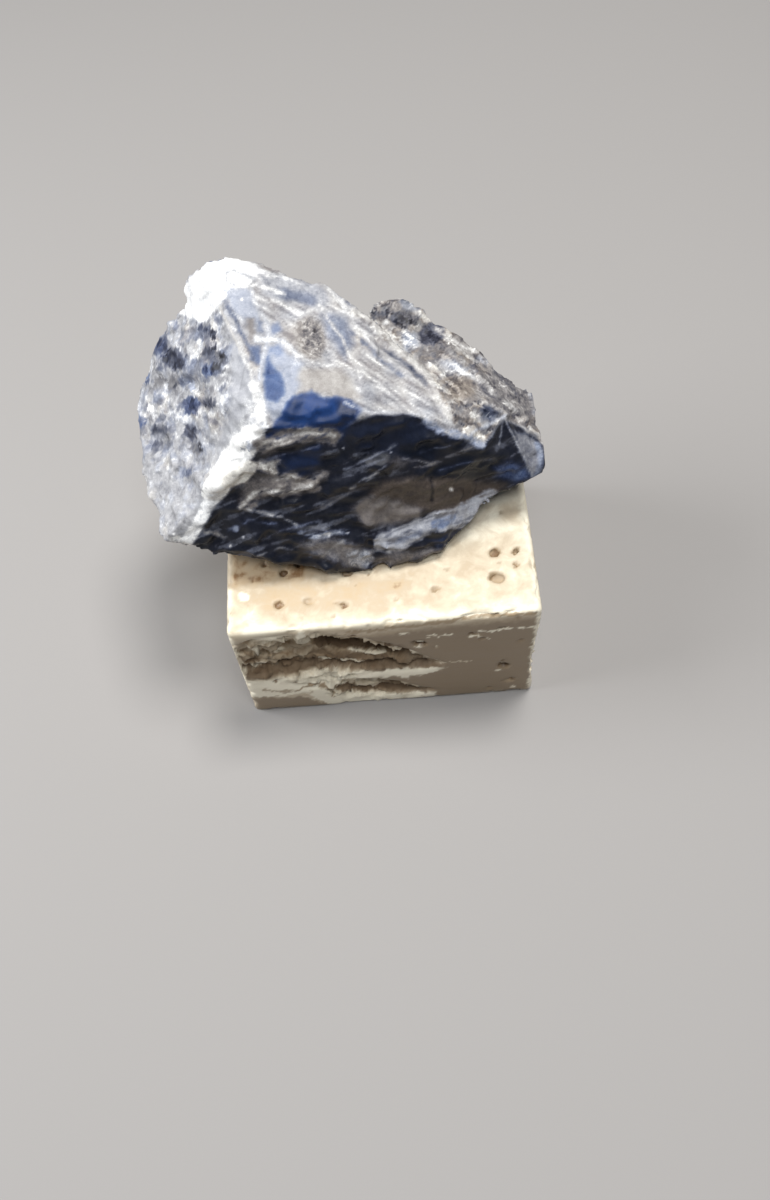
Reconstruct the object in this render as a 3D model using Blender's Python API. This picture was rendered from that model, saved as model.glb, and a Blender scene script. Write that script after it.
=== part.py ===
"""Rough sodalite resting on a small cut block of travertine, at its real size.

The origin is the middle of the block's underside, +Z is up, and -Y is the side with the broken
face. Lengths are written in millimetres and turned into metres by MM.
"""

import math

import bmesh
import bpy
from mathutils import Vector, noise

MM = 0.001

# The block is a sawn piece of 30 mm travertine with a flat, polished top.
BLOCK_WIDTH = 50.0
BLOCK_DEPTH = 45.0
BLOCK_HEIGHT = 30.0
BLOCK_EDGE = 0.8

# Hollows broken out of the block's front. Each row is a place across the front with the height of
# the hollow's roof, of its deepest line and of its lip, all below the top, and its depth there.
HOLLOW = [
    (-25.5, 2.6, 9.0, 21.0, 0.8),
    (-22.5, 2.0, 10.5, 23.0, 2.6),
    (-18.0, 1.6, 11.5, 23.6, 3.8),
    (-14.0, 1.4, 11.5, 24.4, 4.8),
    (-10.0, 1.8, 11.8, 25.0, 5.0),
    (-6.0, 3.6, 12.5, 21.5, 4.6),
    (-2.0, 5.6, 13.2, 19.8, 4.0),
    (2.0, 8.4, 14.0, 19.8, 3.2),
    (6.0, 12.0, 15.0, 19.4, 2.0),
    (10.5, 16.9, 17.2, 17.6, 0.0),
]
LOWER_HOLLOW = [
    (-12.5, 23.0, 24.0, 28.0, 0.0),
    (-9.5, 20.6, 23.0, 32.0, 2.6),
    (-6.0, 20.2, 23.2, 32.5, 3.6),
    (-2.0, 20.2, 24.2, 32.0, 3.2),
    (2.0, 22.0, 25.6, 31.0, 2.4),
    (5.0, 24.0, 26.6, 29.0, 1.4),
    (8.8, 25.4, 26.0, 26.8, 0.0),
]
BREAK_CELL = 1.7
BED_PITCH = 3.6
BED_STEP = 1.5
CUTTER_CLEARANCE = 0.25
CUTTER_THICKNESS = 3.0

# The right side is broken back a little below the polished top.
SIDE_BREAK_DEPTH = 1.1
SIDE_BREAK_ROOF = 2.5
SIDE_BREAK_FLOOR = 28.0
SIDE_CELL = 3.2

# Larger pits in the sawn part of the front: place across, height below the top, length and width.
FRONT_PITS = [
    (5.4, 8.3, 3.2, 1.5),
    (14.6, 6.4, 2.4, 1.2),
    (18.6, 5.3, 2.6, 0.8),
    (19.2, 18.6, 2.2, 2.4),
    (21.0, 24.4, 1.4, 1.6),
]

# Pores in the polished top: place across and along, length, width and depth.
PORES = [
    (18.6, -16.0, 2.6, 1.9, 1.2),
    (18.3, -11.1, 1.9, 1.3, 1.2),
    (22.0, -11.1, 1.1, 1.0, 1.0),
    (21.7, -13.7, 0.9, 1.2, 0.9),
    (8.4, -17.1, 1.4, 1.0, 0.9),
    (-5.4, -12.8, 2.3, 1.3, 1.1),
    (-6.3, -18.7, 1.3, 1.2, 1.0),
    (-15.6, -11.9, 1.6, 1.3, 1.2),
    (-16.4, -17.8, 1.9, 1.2, 0.9),
    (-11.8, -17.6, 2.1, 1.1, 0.8),
    (-13.1, -10.4, 1.3, 0.9, 1.0),
    (22.5, 6.0, 1.4, 1.0, 1.0),
    (-21.5, 9.0, 1.3, 1.0, 1.0),
    (-22.0, 17.5, 1.7, 1.0, 1.0),
    (3.5, 19.5, 1.6, 1.1, 1.0),
    (19.5, 16.5, 1.9, 1.2, 1.1),
]

# The stone rests on the block over this gap.
REST_GAP = 0.3

# Corners of the stone, from the middle of the block's top. The wedge is the main piece, with the
# left face, the top face and the dark front face meeting at the near corner.
WEDGE_CORNERS = {
    "near_corner": (-14.5, -5.5, 30.0),
    "white_peak_left": (-23.0, 20.8, 35.2),
    "white_peak": (-20.0, 20.5, 37.8),
    "white_peak_right": (-16.5, 19.5, 37.2),
    "back_edge_left": (-10.5, 17.5, 35.2),
    "back_edge_middle": (-5.0, 17.5, 33.2),
    "back_edge_right": (-2.0, 14.5, 31.5),
    "crest_high": (1.2, 13.5, 30.0),
    "crest_middle": (5.0, 8.0, 27.5),
    "crest_right": (12.0, -1.5, 23.8),
    "left_ridge_high": (-19.5, 12.0, 35.0),
    "left_ridge_middle": (-15.0, 1.0, 33.0),
    "blue_edge_left": (-9.5, -2.5, 31.0),
    "blue_edge_right": (0.5, -3.6, 28.0),
    "front_edge_middle": (7.5, -3.0, 24.8),
    "front_edge_right": (17.0, -3.6, 19.2),
    "fan": (20.7, 1.4, 18.4),
    "right_end_front": (24.6, -3.0, 8.4),
    "left_ridge_low": (-24.0, -7.8, 19.2),
    "foot_front": (-29.2, -10.2, 8.0),
    "foot_left": (-34.4, -9.6, 7.5),
    "left_low": (-35.2, -4.2, 7.5),
    "left_bulge_low": (-36.6, 6.5, 11.5),
    "left_bulge": (-37.6, 12.5, 12.5),
    "left_bulge_high": (-37.4, 17.2, 14.8),
    "left_shoulder": (-32.6, 20.4, 21.5),
    "left_shoulder_high": (-26.2, 20.8, 31.4),
    "front_keel_left": (-20.0, -11.8, 5.0),
    "front_keel": (-3.5, -13.6, 1.0),
    "front_keel_right": (9.5, -12.0, 1.0),
    "right_keel": (12.5, -10.0, 2.0),
    "right_low": (18.4, -4.6, 5.0),
    "under_front": (-7.0, -9.5, -0.6),
    "under_right": (11.0, 0.0, -0.6),
    "under_back": (4.0, 12.0, -0.6),
    "under_left": (-13.0, 8.0, -0.6),
    "back_low_left": (-26.0, 22.0, 11.0),
    "back_low": (-8.0, 24.0, 8.0),
    "back_high": (-14.0, 25.0, 26.0),
}

# The lobe stands behind and to the right of the wedge, with a rough face that slopes down.
LOBE_CORNERS = {
    "knob_left": (3.0, 21.8, 23.8),
    "knob": (6.4, 21.6, 24.6),
    "knob_right": (9.8, 20.2, 23.9),
    "notch": (12.0, 17.2, 21.6),
    "slope_high": (15.8, 15.4, 20.0),
    "slope_upper": (18.0, 13.6, 18.0),
    "slope_middle": (23.2, 12.0, 15.0),
    "slope_low": (26.0, 10.4, 11.8),
    "right_end_high": (25.9, 2.3, 12.2),
    "tip": (27.2, -0.3, 10.0),
    "tip_low": (26.0, -3.4, 7.6),
    "fan": (20.6, 1.3, 18.2),
    "crest_foot": (9.5, 5.0, 22.2),
    "crest_foot_high": (2.5, 15.5, 24.8),
    "inner_front": (14.0, -2.0, 8.0),
    "inner_back": (-4.0, 16.0, 14.0),
    "lobe_back_low": (10.0, 20.0, 8.0),
    "lobe_back_right": (22.0, 13.0, 6.0),
    "lobe_under": (16.0, 2.0, 3.0),
}

# Scoops in the stone's faces: middle, reach and depth.
SCOOPS = {
    "smoky_hollow": ((15.5, -6.5, 9.5), 8.0, 2.4),
    "left_dish": ((-29.5, 3.5, 19.5), 13.0, 1.6),
    "knob_pit": ((10.2, 16.5, 22.5), 3.0, 2.0),
    "crest_groove": ((6.5, 10.5, 25.0), 4.5, 1.0),
    "front_scoop": ((-1.0, -11.0, 14.0), 7.0, 1.0),
    "back_scoop": ((-8.0, 25.0, 17.0), 12.0, 2.0),
}

# Directions that two of the stone's faces look in.
FRONT_FACE = Vector((0.0, -0.97, 0.24))
TOP_FACE = Vector((0.27, -0.22, 0.94))

# Layers run across the front face as low ledges.
LAYER_NORMAL = Vector((-0.22, 0.15, 1.0)).normalized()
LEDGE_PITCH = 5.0
LEDGE_HEIGHT = 1.0

# The stone is made with fine cells, then simplified to this share of its triangles.
STONE_CELL = 0.9
STONE_SHARE = 0.22


def clear_scene():
    for old in list(bpy.data.objects):
        bpy.data.objects.remove(old)


def make_material(name, colour, roughness):
    material = bpy.data.materials.new(name)
    material.use_nodes = True
    shader = material.node_tree.nodes["Principled BSDF"]
    shader.inputs["Base Color"].default_value = (*colour, 1.0)
    shader.inputs["Roughness"].default_value = roughness
    shader.inputs["Metallic"].default_value = 0.0
    return material


def finish_object(mesh, name, place, material):
    """Turns a bmesh in millimetres into an object in metres at its place."""
    bmesh.ops.recalc_face_normals(mesh, faces=mesh.faces)
    bmesh.ops.scale(mesh, vec=(MM, MM, MM), verts=mesh.verts)
    data = bpy.data.meshes.new(name)
    mesh.to_mesh(data)
    mesh.free()
    data.materials.append(material)
    made = bpy.data.objects.new(name, data)
    made.location = Vector(place) * MM
    bpy.context.scene.collection.objects.link(made)
    return made


def add_hull(mesh, corners):
    """Adds the closed solid stretched over a set of corners."""
    made = [mesh.verts.new(place) for place in corners.values()]
    hull = bmesh.ops.convex_hull(mesh, input=made)
    loose = [v for v in hull["geom_interior"] if isinstance(v, bmesh.types.BMVert)]
    bmesh.ops.delete(mesh, geom=loose, context="VERTS")


def random_direction(place):
    """A direction that is fixed by a place, from -1 to 1 along each axis."""
    return noise.cell_vector(place) * 2.0 - Vector((1.0, 1.0, 1.0))


def chips(point, size):
    """Height of a field of flat, tilted chips of one size, with a small step between neighbours."""
    scaled = point / size
    seed = noise.voronoi(scaled)[1][0]
    return random_direction(seed * 37.3).dot(scaled - seed)


def facing(normal, direction, start=0.35, full=0.8):
    """How far a face turns towards a direction, from 0 to 1."""
    share = (normal.dot(direction) - start) / (full - start)
    return min(max(share, 0.0), 1.0)


def as_object(mesh):
    data = bpy.data.meshes.new("working")
    bmesh.ops.recalc_face_normals(mesh, faces=mesh.faces)
    mesh.to_mesh(data)
    mesh.free()
    made = bpy.data.objects.new("working", data)
    bpy.context.scene.collection.objects.link(made)
    return made


def evaluated(holder):
    made = bmesh.new()
    made.from_object(holder, bpy.context.evaluated_depsgraph_get())
    return made


def joined_by_boolean(first, second, operation):
    """Joins two closed bmeshes, or cuts the second from the first, through the exact Boolean."""
    body, tool = as_object(first), as_object(second)
    join = body.modifiers.new("join", "BOOLEAN")
    join.operation = operation
    join.solver = "EXACT"
    join.object = tool
    made = evaluated(body)
    bpy.data.objects.remove(body)
    bpy.data.objects.remove(tool)
    return made


def even_cells(mesh, cell):
    """Joins overlapping solids into one skin of even cells."""
    body = as_object(mesh)
    skin = body.modifiers.new("cells", "REMESH")
    skin.mode = "VOXEL"
    skin.voxel_size = cell
    made = evaluated(body)
    bpy.data.objects.remove(body)
    return made


def simplified(mesh, share):
    """Keeps a share of the triangles, where they carry the shape best."""
    body = as_object(mesh)
    collapse = body.modifiers.new("simplify", "DECIMATE")
    collapse.decimate_type = "COLLAPSE"
    collapse.use_collapse_triangulate = True
    collapse.ratio = share
    made = evaluated(body)
    bpy.data.objects.remove(body)
    return made


def ledge(point):
    """Height of the stepped, lens-shaped layers that run across the front face."""
    bend = 2.6 * noise.noise(Vector((point.x / 11.0, point.y / 11.0, point.z / 6.0)))
    level = point.dot(LAYER_NORMAL) / LEDGE_PITCH + bend
    share = level - math.floor(level)
    return LEDGE_HEIGHT * (0.5 - share)


def scoop(point):
    """Depth of the scoops at a point."""
    depth = 0.0
    for middle, reach, deepest in SCOOPS.values():
        share = 1.0 - (point - Vector(middle)).length_squared / reach ** 2
        depth += deepest * max(share, 0.0) ** 2
    return depth


def roughen_stone(mesh):
    """Moves each point along its normal: broad swells, chips, scoops, and ledges in front."""
    mesh.normal_update()
    moves = []
    for vert in mesh.verts:
        point, normal = vert.co.copy(), vert.normal
        rough = 1.0 - 0.65 * facing(normal, TOP_FACE)
        height = 0.8 * noise.noise(point / 13.0)
        height += rough * 1.0 * chips(point, 8.0)
        height += rough * 0.6 * chips(point + Vector((31.0, 7.0, 3.0)), 4.0)
        height += facing(normal, FRONT_FACE) * ledge(point)
        height -= scoop(point)
        moves.append(height)
    for vert, height in zip(mesh.verts, moves):
        vert.co += vert.normal * height


def build_stone():
    stone = bmesh.new()
    add_hull(stone, WEDGE_CORNERS)
    add_hull(stone, LOBE_CORNERS)
    stone = even_cells(stone, STONE_CELL)
    roughen_stone(stone)
    for vert in stone.verts:
        vert.co.z = max(vert.co.z, REST_GAP)
    stone = simplified(stone, STONE_SHARE)
    material = make_material("sodalite", (0.16, 0.2, 0.38), 0.35)
    return finish_object(stone, "sodalite", (0.0, 0.0, BLOCK_HEIGHT), material)


def between_rows(rows, across):
    """The row at a place across the front, between the two rows beside it."""
    for low, high in zip(rows, rows[1:]):
        if low[0] <= across <= high[0]:
            share = (across - low[0]) / (high[0] - low[0])
            return [a + (b - a) * share for a, b in zip(low, high)]
    return None


def hollow_depth(rows, across, below):
    """Depth of a hollow: quick from its roof to its deepest line, slow from there to its lip."""
    row = between_rows(rows, across)
    if row is None or not row[1] < below < row[3]:
        return 0.0
    if below < row[2]:
        share = (below - row[1]) / (row[2] - row[1])
        return row[4] * share ** 0.7
    share = (row[3] - below) / (row[3] - row[2])
    return row[4] * share ** 1.5


def front_depth(across, below):
    """How far the front is broken back at a place, with thin beds standing out as ledges."""
    depth = max(hollow_depth(HOLLOW, across, below), hollow_depth(LOWER_HOLLOW, across, below))
    bend = 1.6 * noise.noise(Vector((across / 7.0, 5.0, below / 5.0)))
    level = below / BED_PITCH + bend
    bed = level - math.floor(level) - 0.5
    rough = BED_STEP * bed + 0.5 * chips(Vector((across, 3.0, below * 1.6)), 3.2)
    depth += rough * min(depth / 2.0, 1.0)
    return max(depth, 0.0)


def side_depth(along, below):
    """How far the right side is broken back at a place."""
    if not SIDE_BREAK_ROOF < below < SIDE_BREAK_FLOOR:
        return 0.0
    share = (below - SIDE_BREAK_ROOF) / (SIDE_BREAK_FLOOR - SIDE_BREAK_ROOF)
    depth = SIDE_BREAK_DEPTH * math.sin(math.pi * share) ** 0.6
    return depth * (0.8 + 0.8 * noise.noise(Vector((4.0, along / 6.0, below / 4.0))))


def sheet_cutter(across_range, height_range, cell, depth_at, face):
    """A slab outside a face of the block, whose inner side reaches in by depth_at."""
    wide = round((across_range[1] - across_range[0]) / cell)
    high = round((height_range[1] - height_range[0]) / cell)
    mesh = bmesh.new()
    layers = []
    for layer in (0, 1):
        grid = {}
        for i in range(wide + 1):
            for j in range(high + 1):
                across = across_range[0] + (across_range[1] - across_range[0]) * i / wide
                below = height_range[0] + (height_range[1] - height_range[0]) * j / high
                reach = depth_at(across, below) - CUTTER_CLEARANCE if layer else -CUTTER_THICKNESS
                grid[i, j] = mesh.verts.new(face(across, below, reach))
        layers.append(grid)
    outer, inner = layers
    for i in range(wide):
        for j in range(high):
            square = [(i, j), (i + 1, j), (i + 1, j + 1), (i, j + 1)]
            mesh.faces.new([outer[k] for k in square])
            mesh.faces.new([inner[k] for k in reversed(square)])
    rim = [(i, 0) for i in range(wide)] + [(wide, j) for j in range(high)]
    rim += [(i, high) for i in range(wide, 0, -1)] + [(0, j) for j in range(high, 0, -1)]
    for k, here in enumerate(rim):
        after = rim[(k + 1) % len(rim)]
        mesh.faces.new([outer[after], outer[here], inner[here], inner[after]])
    bmesh.ops.triangulate(mesh, faces=mesh.faces)
    return mesh


def front_face(across, below, reach):
    return across, -BLOCK_DEPTH / 2 + reach, -below


def right_face(along, below, reach):
    return BLOCK_WIDTH / 2 - reach, along, -below


def front_pit_cutter():
    """One low lump for each larger pit, half sunk in the block's front."""
    cutter = bmesh.new()
    for across, below, length, width in FRONT_PITS:
        made = bmesh.ops.create_icosphere(cutter, subdivisions=1, radius=1.0)["verts"]
        bmesh.ops.scale(cutter, vec=(length / 2, 0.9, width / 2), verts=made)
        bmesh.ops.translate(cutter, vec=(across, -BLOCK_DEPTH / 2 - 0.1, -below), verts=made)
    return cutter


def pore_cutter():
    """One low lump for each pore, half sunk in the block's top."""
    cutter = bmesh.new()
    for across, along, length, width, depth in PORES:
        made = bmesh.ops.create_icosphere(cutter, subdivisions=1, radius=1.0)["verts"]
        bmesh.ops.scale(cutter, vec=(length / 2, width / 2, depth), verts=made)
        for vert in made:
            shift = random_direction(vert.co * 23.0 + Vector((across, along, 0.0)))
            vert.co += 0.14 * width * shift
        bmesh.ops.translate(cutter, vec=(across, along, 0.1), verts=made)
    return cutter


def build_block():
    block = bmesh.new()
    bmesh.ops.create_cube(block, size=1.0)
    bmesh.ops.scale(block, vec=(BLOCK_WIDTH, BLOCK_DEPTH, BLOCK_HEIGHT), verts=block.verts)
    bmesh.ops.translate(block, vec=(0.0, 0.0, -BLOCK_HEIGHT / 2), verts=block.verts)
    bmesh.ops.bevel(block, geom=block.edges, offset=BLOCK_EDGE, segments=2, profile=0.5,
                    affect="EDGES", material=-1)
    cutters = [
        sheet_cutter((-26.0, 12.0), (-1.0, 31.5), BREAK_CELL, front_depth, front_face),
        sheet_cutter((-24.0, 24.0), (1.0, 29.0), SIDE_CELL, side_depth, right_face),
        front_pit_cutter(),
        pore_cutter(),
    ]
    for cutter in cutters:
        block = joined_by_boolean(block, cutter, "DIFFERENCE")
    material = make_material("travertine", (0.8, 0.7, 0.54), 0.55)
    return finish_object(block, "travertine_block", (0.0, 0.0, BLOCK_HEIGHT), material)


def main():
    clear_scene()
    build_block()
    build_stone()


main()
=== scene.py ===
"""Rough sodalite on a cut block of travertine: the fine surfaces, materials, floor, light and camera.

Lengths in the settings are real sizes. The markings on the side that faces the camera are placed by
pixels of the photograph (770 x 1200), and everything else comes from noise in millimetres.
"""

import math
from types import SimpleNamespace

import bmesh
import bpy
import numpy as np
from mathutils import Matrix, Vector, noise


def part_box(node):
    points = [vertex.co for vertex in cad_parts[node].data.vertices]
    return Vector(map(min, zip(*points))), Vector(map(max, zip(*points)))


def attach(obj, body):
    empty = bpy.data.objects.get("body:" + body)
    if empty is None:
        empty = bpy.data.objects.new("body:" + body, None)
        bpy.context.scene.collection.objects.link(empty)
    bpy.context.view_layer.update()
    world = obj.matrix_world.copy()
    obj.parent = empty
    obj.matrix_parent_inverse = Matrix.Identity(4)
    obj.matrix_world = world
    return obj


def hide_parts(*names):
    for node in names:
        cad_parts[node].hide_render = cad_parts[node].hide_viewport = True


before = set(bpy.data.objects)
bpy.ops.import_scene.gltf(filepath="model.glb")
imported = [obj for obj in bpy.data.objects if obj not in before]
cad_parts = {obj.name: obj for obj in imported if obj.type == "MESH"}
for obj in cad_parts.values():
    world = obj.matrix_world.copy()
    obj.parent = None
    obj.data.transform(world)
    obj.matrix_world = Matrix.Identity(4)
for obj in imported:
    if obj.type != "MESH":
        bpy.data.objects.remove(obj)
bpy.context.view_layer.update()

bl_info = {
    "name": "Rough sodalite on travertine",
    "version": (1, 0, 0),
    "blender": (4, 5, 0),
    "location": "3D View > Sidebar > Stone",
    "description": "Makes the fine stone, its travertine block, the floor, the light and the camera",
    "category": "Add Mesh",
}

MM = 0.001

# The photograph's camera, and the size of its picture in pixels.
PHOTO_WIDTH = 770
PHOTO_HEIGHT = 1200
PHOTO_FOCAL = 1104.2
CAMERA_PLACE = Vector((3.533, -104.365, 182.022)) * MM
CAMERA_AZIMUTH = math.radians(2.087)
CAMERA_ELEVATION = math.radians(60.49)
CAMERA_ROLL = math.radians(-6.322)
SENSOR = 36.0
PIXELS_PER_MM = 6.5

BLOCK_LOW, BLOCK_HIGH = (Vector(corner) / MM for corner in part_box("travertine_block"))

# Directions across the picture: along the stone's crest, across it, and its cleavage's as columns.
CREST_ALONG = (0.84, 0.55)
CREST_ACROSS = (-0.55, 0.84)
CLEAVAGE = ((0.94, 0.34), (-0.34, 0.94))

# How far outside its box a mark may be moved by its uneven edge, in pixels.
RELIEF_MARGIN = 30.0
PATCH_MARGIN = 20.0
VEIN_MARGIN = 14.0

# Flecks wider than this, in pixels, are whole crystals.
LARGE_FLECK = 6.5

# Pits of the block: their depth in millimetres on honed and on sawn stone, and how dark they are.
HONED_PIT = 0.25
SAWN_PIT = 0.4
PIT_DARKNESS = 0.6

# Pores of the top: how far down and how near to a wall they reach in millimetres, and how torn they are.
PORE_REACH = 2.5
PORE_MARGIN = 0.6
PORE_RAGGEDNESS = 0.9

# How squarely, from 0 to 1, a surface starts to face an axis, and faces it fully.
SQUARE_ON = (0.85, 0.97)

# Noise: how each octave falls and steps, what turns a cell's middle into its random number, and how
# much narrower than its cell a pit is.
FRACTAL_FALL = 1.0
FRACTAL_STEP = 2.0
TILT_KEY = 37.3
PIT_KEY = 51.7
CRYSTAL_KEY = 43.1
PIT_NARROWNESS = 2.2

# A stretch that is the same along each axis.
EVEN = (1.0, 1.0, 1.0)

# The least square of a line's length, against division by 0, and how near, in metres, points are joined.
TINY = 1e-9
WELD = 0.00001

# Layers of tilted chips: height and size in millimetres, seed, and stretch along each axis.
ROUGH_CHIPS = ((0.26, 5.0, 11.3, EVEN), (0.12, 2.2, 5.7, EVEN), (0.045, 1.1, 2.9, EVEN))
LOBE_SHARDS = ((0.32, 4.0, 21.3, (2.2, 0.8, 1.0)), (0.18, 1.9, 25.7, (2.6, 0.8, 1.0)))
LOBE_CHIPS = ((0.05, 1.0, 22.9, EVEN),)
FRONT_FLAKES = ((0.15, 6.0, 3.1, (1.7, 1.0, 1.0)), (0.06, 2.4, 8.4, (1.6, 1.0, 1.0)))
FRONT_CHIPS = ((0.012, 0.8, 1.2, EVEN),)
TOP_CHIPS = ((0.14, 5.5, 7.7, EVEN), (0.03, 1.4, 6.1, EVEN))
BLOCK_CHIPS = ((0.5, 2.0, 4.4, (2.4, 1.0, 0.7)), (0.36, 1.1, 8.8, (1.8, 1.0, 0.8)))

# Colour ramps: place from dark 0 to pale 1, and the setting's colour. The stone's are cool, warm and blue.
SODALITE_RAMPS = (
    ((0.0, "black"), (0.25, "navy"), (0.45, "slate"), (0.65, "grey"), (0.85, "pale"), (1.0, "white")),
    ((0.0, "black"), (0.4, "brown"), (0.7, "tan"), (1.0, "cream")),
    ((0.0, "black"), (0.4, "royal"), (0.7, "azure"), (1.0, "ice")),
)
TRAVERTINE_RAMP = ((0.0, "white"), (0.3, "cream"), (0.55, "sand"), (0.8, "tan"), (1.0, "rust"))
SODALITE_IOR = 1.48

# Soft lights: place and width in metres, and colour. Their power is in the stage's settings.
LIGHTS = {
    "key": ((0.13, 0.10, 0.61), 0.22, (1.0, 0.985, 0.96)),
    "left": ((-0.42, 0.02, 0.30), 0.30, (0.97, 0.985, 1.0)),
    "front": ((0.05, -0.22, 0.60), 0.22, (0.96, 0.98, 1.0)),
}
LIGHT_AIM = Vector((0.0, 0.0, 0.04))
ROOM_COLOUR = (0.93, 0.95, 1.0, 1.0)

# Outlines of the stone's faces as the photograph shows them, in its pixels.
FRONT_FACE = [
    (240, 470), (250, 445), (262, 430), (285, 426), (312, 431), (340, 431), (372, 415), (415, 415),
    (431, 425), (456, 439), (482, 446), (504, 418), (537, 437), (550, 456), (545, 478), (534, 492),
    (494, 514), (478, 534), (460, 562), (425, 573), (389, 583), (364, 588), (340, 585), (314, 578),
    (278, 573), (250, 574), (220, 566), (184, 552), (205, 505), (226, 494),
]
TOP_FACE = [
    (224, 313), (240, 262), (258, 262), (283, 270), (323, 276), (333, 289), (344, 302), (366, 316),
    (383, 339), (396, 351), (427, 383), (442, 402), (458, 425), (456, 439), (431, 425), (415, 415),
    (372, 414), (344, 405), (314, 392), (285, 420), (262, 428), (266, 414), (257, 380), (241, 349),
]
LOBE_FACE = [
    (366, 316), (380, 300), (404, 292), (426, 300), (436, 318), (456, 324), (476, 338), (486, 352),
    (500, 363), (518, 370), (538, 388), (541, 414), (541, 436), (504, 417), (482, 446), (458, 430),
    (442, 402), (427, 383), (396, 351), (383, 339),
]

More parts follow.
